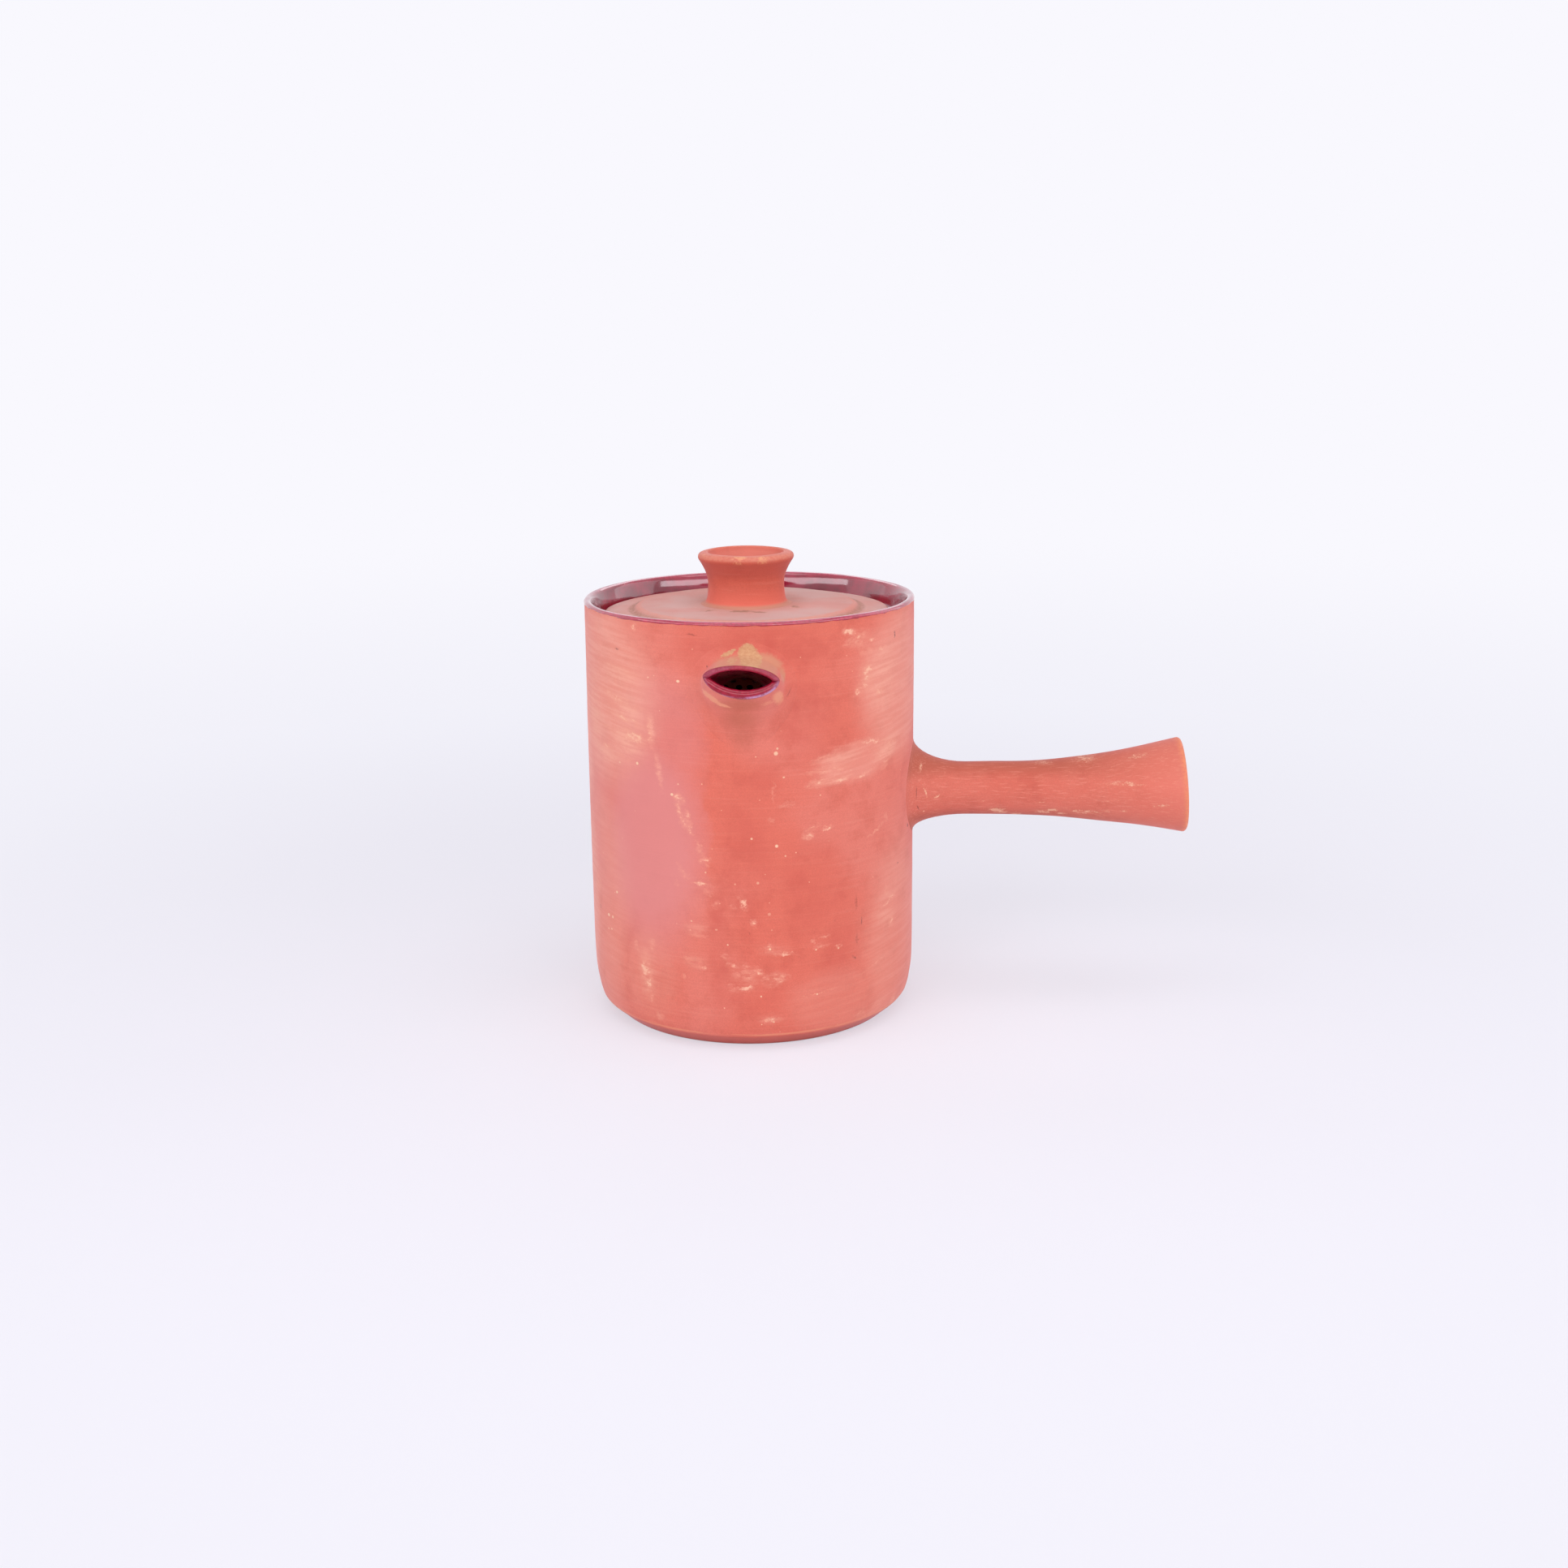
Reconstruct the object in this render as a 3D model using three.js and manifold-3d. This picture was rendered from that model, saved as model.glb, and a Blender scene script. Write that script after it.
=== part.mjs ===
import * as THREE from 'three';
import { mergeVertices } from 'three/addons/utils/BufferGeometryUtils.js';
import Module from 'manifold-3d';

const wasm = await Module();
wasm.setup();

// A thrown terracotta teapot with a pinched spout, a hollow side handle and a sunk lid.
// Lengths are in millimetres, +Z is up and the table is at zero.
// The pot's axis is the Z axis, the spout points along -Y and the handle along +X.

// Fits and cuts that every piece shares
const SEAT_GAP = 0.3;
const GLAZE_THICKNESS = 0.5;
const CUT_OVERRUN = 8;
const SOFT_EDGE = 0.7;

// Pot, outside
const POT_HEIGHT = 151.8;
const RIM_RADIUS = 59;
const BELLY_SWELL = 0.3;
const BELLY_HEIGHT = 50;
const FOOT_EDGE_INSET = 2.2;
const FOOT_EDGE_HEIGHT = 5.7;
const FOOT_BEVEL_RUN = 5.8;
// How far the wall has widened from foot edge to belly, and how high it has risen there
const WALL_EASE_SHARES = [[0, 0], [0.48, 0.1], [0.91, 0.32], [1, 1]];

// Pot, inside
const GLAZED_WALL = 4.5;
const FLOOR_THICKNESS = 6;
const FLOOR_CORNER_RADIUS = 8;
const RIM_GLAZE_TAIL = 0.6;
const LID_SINK = 8.6;
const LEDGE_THICKNESS = 2.2;
const LEDGE_UNDERCUT_SHARE = 0.5;

// Lid, which sits in the neck on the ledge
const LID_EDGE_CLEARANCE = 3;
const LID_LAP = 5.5;
const LID_EDGE_THICKNESS = 3.1;
const LID_SHOULDER_THICKNESS = 4.3;
const LID_MIDDLE_THICKNESS = 5.5;
const LID_SHOULDER_WIDTH = 12.2;
const LID_STEP_RUN = 1.6;
const LID_RING_DEPTH = 5;
const LID_RING_WALL = 3.5;
const LID_RING_CLEARANCE = 1.5;
const LID_OFFSET = 0.9;

// Knob, a hollow cup on the lid
const KNOB_HEIGHT = 18.6;
const KNOB_LIP_RADIUS = 17.1;
const KNOB_WAIST_INSET = 3.45;
const KNOB_FOOT_FLARE = 2.55;
const KNOB_LIP_WIDTH = 4;
const KNOB_HOLLOW_DEPTH = 11.6;
// Outside below the waist: share of the way out to the foot, share of the knob's height
const KNOB_FOOT_SHARES = [[1, 0], [0.48, 0.03], [0.28, 0.07], [0.1, 0.18], [0, 0.36]];
// Outside above the waist: share of the way out to the lip, share of the knob's height
const KNOB_LIP_SHARES = [[0.06, 0.51], [0.33, 0.65], [0.74, 0.79], [1, 0.9], [0.96, 0.95], [0.74, 0.99]];
// Lip and hollow: share of the mouth's radius, share of the hollow's depth
const KNOB_HOLLOW_SHARES = [
  [1.16, 0], [1.05, 0.01], [1, 0.05], [0.95, 0.24], [0.86, 0.5], [0.71, 0.75], [0.48, 0.93],
];

// Spout, measured from the pot's belly out to the lower lip
const SPOUT_REACH = 14.7;
const SPOUT_DROP = 12.2;
const SPOUT_OPENING_WIDTH = 16.8;
const SPOUT_CORNER_WIDTH = 4.1;
const SPOUT_OPENING_HEIGHT = 6.6;
const SPOUT_UPPER_LIP = 1.3;
const SPOUT_LOWER_LIP = 2.5;
const SPOUT_LEAN = 2.5;
const SPOUT_LIP_ROUNDING = 0.6;
const SPOUT_LIP_GLAZE = 0.9;
const SPOUT_HOLE_WIDTH = 20;
const SPOUT_HOLE_HEIGHT = 19;
const SPOUT_ROOT_WALL = 6;
const SPOUT_ROOT_RISE = 4.4;
const SPOUT_KEEL_DEPTH = 6.8;
// Where the corners lie between the bottom and the top of the mouth, root, opening and hole
const MOUTH_CORNER_SHARE = 0.62;
const ROOT_CORNER_SHARE = 0.61;
const OPENING_CORNER_SHARE = 0.56;
const HOLE_CORNER_SHARE = 0.5;
// How the sections ease from root to mouth, how pointed the mouth is, and how keeled the root is
const SPOUT_EASE_POWER = 1.5;
const CHANNEL_EASE_POWER = 1.7;
const MOUTH_PINCH_POWER = 1.2;
const ROOT_KEEL_POWER = 1.7;
// Sections along the spout and the channel, as shares of the reach
const SPOUT_STATION_SHARES = [-0.45, -0.2, 0, 0.2, 0.4, 0.6, 0.8];
const CHANNEL_STATION_SHARES = [0, 0.25, 0.5, 0.75, 1];
const CHANNEL_END_SHARES = [-0.95, 1.3];

// Strainer, a pierced dome inside over the spout's hole
const STRAINER_WALL = 2.4;
const STRAINER_LAP = 3;
const STRAINER_RISE = 9;
const STRAINER_HOLE_RADIUS = 1.2;
const STRAINER_HOLE_PITCH = 3.7;
const STRAINER_HOLE_RINGS = 2;
const HOLES_PER_RING_STEP = 6;

// Handle, measured from the pot's belly
const HANDLE_REACH = 97.7;
const HANDLE_HEIGHT = 80.6;
const HANDLE_WAIST_RADIUS = 9.68;
const HANDLE_ROOT_FLARE = 6.22;
const HANDLE_END_FLARE = 7.67;
const HANDLE_WALL = 3.8;
const HANDLE_ROOT_LENGTH = 19;
const HANDLE_END_LENGTH = 65;
const HANDLE_ROOT_RISE = 1.2;
const HANDLE_END_RISE = 1.7;
const HANDLE_LIP_ROUNDING = 1.2;
const HANDLE_SUNK = 5;
const HANDLE_END_TILT_DEG = 4.2;
const HANDLE_SWING_DEG = 2;
const HANDLE_ROOT_POWER = 3;
const HANDLE_END_POWER = 1.75;
// Rings along the handle, as shares of the root's length and of the end flare's length
const HANDLE_ROOT_SHARES = [0, 0.12, 0.25, 0.42, 0.65, 1];
const HANDLE_END_SHARES = [0.3, 0.5, 0.7, 0.86];

// Facets round each form
const POT_FACETS = 48;
const KNOB_FACETS = 32;
const HANDLE_FACETS = 24;
const SPOUT_FACETS = 28;
const STRAINER_FACETS = 24;
const STRAINER_HOLE_FACETS = 6;
const RIM_STEPS = 6;
const CORNER_STEPS = 3;
const DOME_STEPS = 4;

// Sizes that follow from the ones above
const SKIN = SEAT_GAP + GLAZE_THICKNESS;
const BELLY_RADIUS = RIM_RADIUS + BELLY_SWELL;
const FOOT_EDGE_RADIUS = BELLY_RADIUS - FOOT_EDGE_INSET;
const FOOT_RADIUS = FOOT_EDGE_RADIUS - FOOT_BEVEL_RUN;
const NECK_RADIUS = RIM_RADIUS - GLAZED_WALL;
const INNER_RADIUS = NECK_RADIUS + SKIN;
const LIP_HALF_WIDTH = GLAZED_WALL / 2;
const LIP_CENTRE_RADIUS = RIM_RADIUS - LIP_HALF_WIDTH;
const LIP_CENTRE_HEIGHT = POT_HEIGHT - LIP_HALF_WIDTH;
const GLAZE_TAIL_HEIGHT = LIP_CENTRE_HEIGHT - RIM_GLAZE_TAIL;
const LEDGE_TOP = POT_HEIGHT - LID_SINK;
const LID_RADIUS = NECK_RADIUS - LID_EDGE_CLEARANCE;
const LID_MIDDLE_RADIUS = LID_RADIUS - LID_SHOULDER_WIDTH;
const LID_RING_RADIUS = LID_RADIUS - LID_LAP;
const LEDGE_RADIUS = LID_RING_RADIUS + LID_RING_CLEARANCE;
const LEDGE_ROOT = LEDGE_TOP - LEDGE_THICKNESS - (INNER_RADIUS - LEDGE_RADIUS) * LEDGE_UNDERCUT_SHARE;
const MOUTH_TOP = POT_HEIGHT - SPOUT_DROP;
const MOUTH_BOTTOM = MOUTH_TOP - SPOUT_UPPER_LIP - SPOUT_OPENING_HEIGHT - SPOUT_LOWER_LIP;
const STRAINER_TOP = LEDGE_ROOT - SEAT_GAP;
const STRAINER_CENTRE = STRAINER_TOP - STRAINER_LAP - SPOUT_HOLE_HEIGHT / 2;
const STRAINER_RADIUS = STRAINER_TOP - STRAINER_CENTRE;
const KNOB_WAIST_RADIUS = KNOB_LIP_RADIUS - KNOB_WAIST_INSET;
const KNOB_MOUTH_RADIUS = KNOB_LIP_RADIUS - KNOB_LIP_WIDTH;

const TERRACOTTA = { color: 0xe0725f, roughness: 0.85, metalness: 0 };
const PLUM_GLAZE = { color: 0x9c3350, roughness: 0.2, metalness: 0 };

// A closed geometry as a solid that can be cut and joined
function toSolid(geometry) {
  const bare = geometry.clone();
  bare.deleteAttribute('normal');
  bare.deleteAttribute('uv');
  const merged = mergeVertices(bare);
  const corners = merged.index.array;
  const places = merged.attributes.position.array;
  const triVerts = [];
  for (let i = 0; i < corners.length; i += 3) {
    const [a, b, c] = corners.slice(i, i + 3);
    if (a !== b && b !== c && c !== a) {
      triVerts.push(a, b, c);
    }
  }
  if (signedVolume(places, triVerts) < 0) {
    triVerts.reverse();
  }
  const vertProperties = new Float32Array(places);
  const closed = new wasm.Mesh({ numProp: 3, vertProperties, triVerts: new Uint32Array(triVerts) });
  return new wasm.Manifold(closed);
}

// Volume inside the triangles, negative when they face inwards
function signedVolume(places, triVerts) {
  const corner = (index) => new THREE.Vector3().fromArray(places, index * 3);
  let total = 0;
  for (let i = 0; i < triVerts.length; i += 3) {
    const [a, b, c] = [0, 1, 2].map((step) => corner(triVerts[i + step]));
    total += a.dot(b.cross(c)) / 6;
  }
  return total;
}

function toGeometry(solid) {
  const mesh = solid.getMesh();
  const geometry = new THREE.BufferGeometry();
  geometry.setAttribute('position', new THREE.BufferAttribute(new Float32Array(mesh.vertProperties), 3));
  geometry.setIndex(new THREE.BufferAttribute(new Uint32Array(mesh.triVerts), 1));
  geometry.computeVertexNormals();
  return geometry;
}

// A turned solid: each point of the outline is a radius and a height
function turned(outline, facets) {
  const points = outline.map(([radius, height]) => new THREE.Vector2(radius, height));
  return toSolid(new THREE.LatheGeometry(points, facets).rotateX(Math.PI / 2));
}

// A solid through rings with the same number of points, closed by a flat fan at each end
function lofted(rings) {
  const count = rings[0].length;
  const points = rings.flat();
  const faces = [];
  for (let ring = 0; ring < rings.length - 1; ring += 1) {
    for (let step = 0; step < count; step += 1) {
      const here = ring * count + step;
      const next = ring * count + ((step + 1) % count);
      faces.push(here, next, next + count, here, next + count, here + count);
    }
  }
  for (const [ring, turn] of [[0, 1], [rings.length - 1, -1]]) {
    const hub = points.length;
    points.push(middle(rings[ring]));
    for (let step = 0; step < count; step += 1) {
      const here = ring * count + step;
      const next = ring * count + ((step + 1) % count);
      faces.push(...(turn > 0 ? [hub, next, here] : [hub, here, next]));
    }
  }
  const geometry = new THREE.BufferGeometry().setFromPoints(points);
  geometry.setIndex(faces);
  return toSolid(geometry);
}

function middle(points) {
  const sum = points.reduce((total, point) => total.add(point), new THREE.Vector3());
  return sum.divideScalar(points.length);
}

function mesh(name, solid, look) {
  const piece = new THREE.Mesh(toGeometry(solid), new THREE.MeshStandardMaterial(look));
  piece.name = name;
  return piece;
}

// Points of an arc in the turning plane, from one angle to another in degrees
function arc(centreRadius, centreHeight, radius, from, to, steps) {
  const points = [];
  for (let step = 0; step <= steps; step += 1) {
    const angle = THREE.MathUtils.degToRad(from + ((to - from) * step) / steps);
    points.push([centreRadius + radius * Math.cos(angle), centreHeight + radius * Math.sin(angle)]);
  }
  return points;
}

// Outside of the pot's wall up to a height, grown outwards by a margin
function potSide(top, margin) {
  const side = [[FOOT_RADIUS + margin, 0]];
  for (const [wide, high] of WALL_EASE_SHARES) {
    const radius = FOOT_EDGE_RADIUS + (BELLY_RADIUS - FOOT_EDGE_RADIUS) * wide;
    side.push([radius + margin, FOOT_EDGE_HEIGHT + (BELLY_HEIGHT - FOOT_EDGE_HEIGHT) * high]);
  }
  side.push([RIM_RADIUS + margin, top]);
  return side;
}

// The pot with no hollow, grown by the seat gap, which cuts the feet of the spout and handle
function potEnvelope() {
  return turned([[0, 0], ...potSide(POT_HEIGHT, SEAT_GAP), [0, POT_HEIGHT]], POT_FACETS);
}

// Inside of the pot below the ledge, shrunk by a margin
function teaSide(margin) {
  const corner = FLOOR_CORNER_RADIUS;
  const sweep = arc(INNER_RADIUS - corner, FLOOR_THICKNESS + corner, corner - margin, -90, 0, CORNER_STEPS);
  return [[0, FLOOR_THICKNESS + margin], ...sweep];
}

function potBody() {
  const step = GLAZE_TAIL_HEIGHT - SEAT_GAP;
  const outline = [
    [0, 0],
    ...potSide(step, 0),
    [RIM_RADIUS - SKIN, step],
    ...arc(LIP_CENTRE_RADIUS, LIP_CENTRE_HEIGHT, LIP_HALF_WIDTH - SKIN, 0, 180, RIM_STEPS),
    [INNER_RADIUS, LEDGE_TOP],
    [LEDGE_RADIUS + SOFT_EDGE, LEDGE_TOP],
    [LEDGE_RADIUS, LEDGE_TOP - SOFT_EDGE],
    [LEDGE_RADIUS, LEDGE_TOP - LEDGE_THICKNESS],
    [INNER_RADIUS, LEDGE_ROOT],
    ...teaSide(0).reverse(),
  ];
  return turned(outline, POT_FACETS).subtract(channel(SKIN));
}

function rimGlaze() {
  const bottom = LEDGE_TOP + SEAT_GAP;
  const thin = LIP_HALF_WIDTH - GLAZE_THICKNESS;
  const outline = [
    [RIM_RADIUS, GLAZE_TAIL_HEIGHT],
    ...arc(LIP_CENTRE_RADIUS, LIP_CENTRE_HEIGHT, LIP_HALF_WIDTH, 0, 180, RIM_STEPS),
    [NECK_RADIUS, bottom],
    [NECK_RADIUS + GLAZE_THICKNESS, bottom],
    ...arc(LIP_CENTRE_RADIUS, LIP_CENTRE_HEIGHT, thin, 180, 0, RIM_STEPS),
    [RIM_RADIUS - GLAZE_THICKNESS, GLAZE_TAIL_HEIGHT],
    [RIM_RADIUS, GLAZE_TAIL_HEIGHT],
  ];
  return turned(outline, POT_FACETS);
}

// Glaze from the floor up to the ledge, left away where the strainer is luted to the wall
function interiorGlaze() {
  const top = LEDGE_ROOT - SEAT_GAP;
  const outline = [
    ...teaSide(SEAT_GAP),
    [INNER_RADIUS - SEAT_GAP, top],
    [INNER_RADIUS - SKIN, top],
    ...teaSide(SKIN).reverse(),
  ];
  const bare = STRAINER_RADIUS + SEAT_GAP;
  return turned(outline, POT_FACETS).subtract(lyingRod(bare, STRAINER_FACETS, 0, STRAINER_CENTRE));
}

// A round bar along Y through the front wall of the pot
function lyingRod(radius, facets, across, height) {
  const length = BELLY_RADIUS + CUT_OVERRUN - strainerBase() + STRAINER_RISE;
  const rod = new THREE.CylinderGeometry(radius, radius, length, facets);
  return toSolid(rod.translate(across, -BELLY_RADIUS - CUT_OVERRUN + length / 2, height));
}

// Distance from the pot's axis to the flat base of the strainer's dome, negative in front
function strainerBase() {
  return Math.sqrt(INNER_RADIUS ** 2 - STRAINER_RADIUS ** 2);
}

// A dome of a base radius and rise, on a skirt that reaches back through the wall
function strainerDome(radius, rise) {
  const ball = (radius ** 2 + rise ** 2) / (2 * rise);
  const start = THREE.MathUtils.radToDeg(Math.asin(radius / ball));
  const cap = arc(0, rise - ball, ball, 90 - start, 90, DOME_STEPS);
  cap[DOME_STEPS] = [0, rise];
  const outline = [[0, -CUT_OVERRUN], [radius, -CUT_OVERRUN], ...cap];
  const lying = turned(outline, STRAINER_FACETS).rotate([-90, 0, 0]);
  return lying.translate([0, -strainerBase(), STRAINER_CENTRE]);
}

function strainer() {
  const outer = strainerDome(STRAINER_RADIUS, STRAINER_RISE);
  const inner = strainerDome(STRAINER_RADIUS - STRAINER_WALL, STRAINER_RISE - STRAINER_WALL);
  const reach = INNER_RADIUS - SEAT_GAP;
  const cavity = turned([[0, 0], [reach, 0], [reach, POT_HEIGHT], [0, POT_HEIGHT]], POT_FACETS);
  let dome = outer.subtract(inner).intersect(cavity);
  for (let ring = 0; ring <= STRAINER_HOLE_RINGS; ring += 1) {
    const count = Math.max(1, ring * HOLES_PER_RING_STEP);
    for (let hole = 0; hole < count; hole += 1) {
      const angle = (2 * Math.PI * hole) / count;
      const across = ring * STRAINER_HOLE_PITCH * Math.cos(angle);
      const height = STRAINER_CENTRE + ring * STRAINER_HOLE_PITCH * Math.sin(angle);
      dome = dome.subtract(lyingRod(STRAINER_HOLE_RADIUS, STRAINER_HOLE_FACETS, across, height));
    }
  }
  return dome;
}

// Cross-sections of the spout at its mouth and at its root, where it meets the belly
function spoutSections() {
  return {
    mouth: {
      half: SPOUT_OPENING_WIDTH / 2 + SPOUT_CORNER_WIDTH,
      top: MOUTH_TOP,
      bottom: MOUTH_BOTTOM,
      corner: MOUTH_CORNER_SHARE,
    },
    root: {
      half: SPOUT_HOLE_WIDTH / 2 + SPOUT_ROOT_WALL,
      top: MOUTH_TOP + SPOUT_ROOT_RISE,
      bottom: STRAINER_CENTRE - SPOUT_HOLE_HEIGHT / 2 - SPOUT_KEEL_DEPTH,
      corner: ROOT_CORNER_SHARE,
    },
    opening: {
      half: SPOUT_OPENING_WIDTH / 2,
      top: MOUTH_TOP - SPOUT_UPPER_LIP,
      bottom: MOUTH_TOP - SPOUT_UPPER_LIP - SPOUT_OPENING_HEIGHT,
      corner: OPENING_CORNER_SHARE,
    },
    hole: {
      half: SPOUT_HOLE_WIDTH / 2 - SKIN,
      top: STRAINER_CENTRE + SPOUT_HOLE_HEIGHT / 2 - SKIN,
      bottom: STRAINER_CENTRE - SPOUT_HOLE_HEIGHT / 2 + SKIN,
      corner: HOLE_CORNER_SHARE,
    },
  };
}

// One ring of the spout: share is 0 at the belly and 1 at the lips, and grow widens it all round
function spoutRing(inner, outer, share, power, keel, grow) {
  const ease = (1 - share) ** power;
  const blend = (name) => outer[name] + (inner[name] - outer[name]) * ease;
  const half = blend('half') + grow;
  const top = blend('top') + grow;
  const bottom = blend('bottom') - grow;
  const corner = bottom + (top - bottom) * blend('corner');
  const outward = Math.min(1, Math.max(0, share));
  // 1 gives an oval, and larger numbers a pointed almond and a keel below
  const pinchPower = 1 + (MOUTH_PINCH_POWER - 1) * outward;
  const keelPower = 1 + (keel - 1) * (1 - outward);
  const ring = [];
  for (let step = 0; step < SPOUT_FACETS; step += 1) {
    const angle = (2 * Math.PI * step) / SPOUT_FACETS;
    const side = Math.cos(angle);
    const lift = Math.sign(Math.sin(angle)) * Math.abs(Math.sin(angle)) ** pinchPower;
    const across = half * Math.sign(side) * Math.abs(side) ** (lift < 0 ? keelPower : 1);
    const height = corner + lift * (lift > 0 ? top - corner : corner - bottom);
    const lean = (SPOUT_LEAN * (height - MOUTH_BOTTOM)) / (MOUTH_TOP - MOUTH_BOTTOM);
    const out = BELLY_RADIUS + share * (SPOUT_REACH - outward * lean);
    ring.push(new THREE.Vector3(across, -out, height));
  }
  return ring;
}

// The spout with no hollow, from inside the wall out to a share of its reach
function spoutForm(from, to, rounding) {
  const { root, mouth } = spoutSections();
  const last = to - rounding / SPOUT_REACH;
  const shares = [from, ...SPOUT_STATION_SHARES.filter((share) => share > from && share < last)];
  const ring = (share, grow) => spoutRing(root, mouth, share, SPOUT_EASE_POWER, ROOT_KEEL_POWER, grow);
  const rings = shares.map((share) => ring(share, 0));
  return lofted([...rings, ring(last, 0), ring(to, -rounding)]);
}

// The spout's channel, from the strainer's side of the wall to past the lips
function channel(grow) {
  const { hole, opening } = spoutSections();
  const [start, end] = CHANNEL_END_SHARES;
  const ring = (share, place) => {
    const points = spoutRing(hole, opening, share, CHANNEL_EASE_POWER, 1, grow);
    const shift = (share - place) * SPOUT_REACH;
    return points.map((point) => point.add(new THREE.Vector3(0, shift, 0)));
  };
  const middles = CHANNEL_STATION_SHARES.map((share) => ring(share, share));
  return lofted([ring(0, start), ...middles, ring(1, end)]);
}

function spout() {
  const setBack = 1 - (SPOUT_LIP_GLAZE + SEAT_GAP) / SPOUT_REACH;
  const form = spoutForm(SPOUT_STATION_SHARES[0], setBack, SPOUT_LIP_ROUNDING);
  return form.subtract(channel(SKIN)).subtract(potEnvelope());
}

// Glaze over the lips, with a sleeve that lines the channel
function spoutGlaze() {
  const lips = spoutForm(1 - SPOUT_LIP_GLAZE / SPOUT_REACH, 1, SPOUT_LIP_ROUNDING);
  const front = spoutForm(SPOUT_STATION_SHARES[0], 1, SPOUT_LIP_ROUNDING);
  const sleeve = channel(GLAZE_THICKNESS).intersect(front);
  return lips.add(sleeve).subtract(channel(0)).subtract(potEnvelope());
}

// Shares of the handle's root and end flares that are reached at a distance from the belly
function handleFlares(distance) {
  const root = Math.max(0, 1 - distance / HANDLE_ROOT_LENGTH);
  const end = Math.max(0, 1 - (HANDLE_REACH - distance) / HANDLE_END_LENGTH);
  return { root: root ** HANDLE_ROOT_POWER, end: end ** HANDLE_END_POWER };
}

function handleRadius(distance) {
  const { root, end } = handleFlares(distance);
  return HANDLE_WAIST_RADIUS + HANDLE_ROOT_FLARE * root + HANDLE_END_FLARE * end;
}

// One ring of the handle, drawn in or out by grow from its outside
function handleRing(distance, grow) {
  const { root, end } = handleFlares(distance);
  const axisHeight = HANDLE_HEIGHT + HANDLE_ROOT_RISE * root + HANDLE_END_RISE * end;
  const slope = Math.tan(THREE.MathUtils.degToRad(HANDLE_END_TILT_DEG)) * end;
  const radius = handleRadius(distance) + grow;
  const ring = [];
  for (let step = 0; step < HANDLE_FACETS; step += 1) {
    const angle = (2 * Math.PI * step) / HANDLE_FACETS;
    const rise = radius * Math.sin(angle);
    const out = BELLY_RADIUS + distance - rise * slope;
    ring.push(new THREE.Vector3(out, radius * Math.cos(angle), axisHeight + rise));
  }
  return ring;
}

// Distances from the belly where the handle's outline bends
function handleStations() {
  const endStart = HANDLE_REACH - HANDLE_END_LENGTH;
  const roots = HANDLE_ROOT_SHARES.map((share) => share * HANDLE_ROOT_LENGTH);
  const ends = HANDLE_END_SHARES.map((share) => endStart + share * HANDLE_END_LENGTH);
  return [-HANDLE_SUNK, -HANDLE_SUNK / 2, ...roots, ...ends];
}

function sideHandle() {
  const stations = handleStations();
  const outer = stations.map((distance) => handleRing(distance, 0));
  outer.push(handleRing(HANDLE_REACH - HANDLE_LIP_ROUNDING, 0));
  outer.push(handleRing(HANDLE_REACH - HANDLE_LIP_ROUNDING / 4, -HANDLE_LIP_ROUNDING / 3));
  outer.push(handleRing(HANDLE_REACH, -HANDLE_LIP_ROUNDING));
  const inner = stations.map((distance) => handleRing(distance, -HANDLE_WALL));
  inner.unshift(handleRing(-HANDLE_SUNK - CUT_OVERRUN, -HANDLE_WALL));
  inner.push(handleRing(HANDLE_REACH - HANDLE_LIP_ROUNDING, -HANDLE_WALL));
  inner.push(handleRing(HANDLE_REACH + HANDLE_LIP_ROUNDING, HANDLE_LIP_ROUNDING - HANDLE_WALL));
  return lofted(outer).subtract(lofted(inner)).subtract(potEnvelope());
}

// Lid, with the face that rests on the ledge at height zero
function lid() {
  const ringInner = LID_RING_RADIUS - LID_RING_WALL;
  const outline = [
    [0, 0],
    [ringInner, 0],
    [ringInner, SOFT_EDGE - LID_RING_DEPTH],
    [ringInner + SOFT_EDGE, -LID_RING_DEPTH],
    [LID_RING_RADIUS - SOFT_EDGE, -LID_RING_DEPTH],
    [LID_RING_RADIUS, SOFT_EDGE - LID_RING_DEPTH],
    [LID_RING_RADIUS, 0],
    [LID_RADIUS - SOFT_EDGE, 0],
    [LID_RADIUS, SOFT_EDGE],
    [LID_RADIUS, LID_EDGE_THICKNESS - SOFT_EDGE],
    [LID_RADIUS - SOFT_EDGE, LID_EDGE_THICKNESS],
    [LID_MIDDLE_RADIUS + LID_STEP_RUN, LID_SHOULDER_THICKNESS],
    [LID_MIDDLE_RADIUS, LID_MIDDLE_THICKNESS],
    [0, LID_MIDDLE_THICKNESS],
  ];
  return turned(outline, POT_FACETS);
}

// Knob, with its foot at height zero
function lidKnob() {
  const foot = KNOB_FOOT_SHARES.map(([out, high]) => [
    KNOB_WAIST_RADIUS + KNOB_FOOT_FLARE * out,
    KNOB_HEIGHT * high,
  ]);
  const side = KNOB_LIP_SHARES.map(([out, high]) => [
    KNOB_WAIST_RADIUS + KNOB_WAIST_INSET * out,
    KNOB_HEIGHT * high,
  ]);
  const hollow = KNOB_HOLLOW_SHARES.map(([out, deep]) => [
    KNOB_MOUTH_RADIUS * out,
    KNOB_HEIGHT - KNOB_HOLLOW_DEPTH * deep,
  ]);
  return turned([[0, 0], ...foot, ...side, ...hollow, [0, KNOB_HEIGHT - KNOB_HOLLOW_DEPTH]], KNOB_FACETS);
}

const teapot = new THREE.Group();

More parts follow.
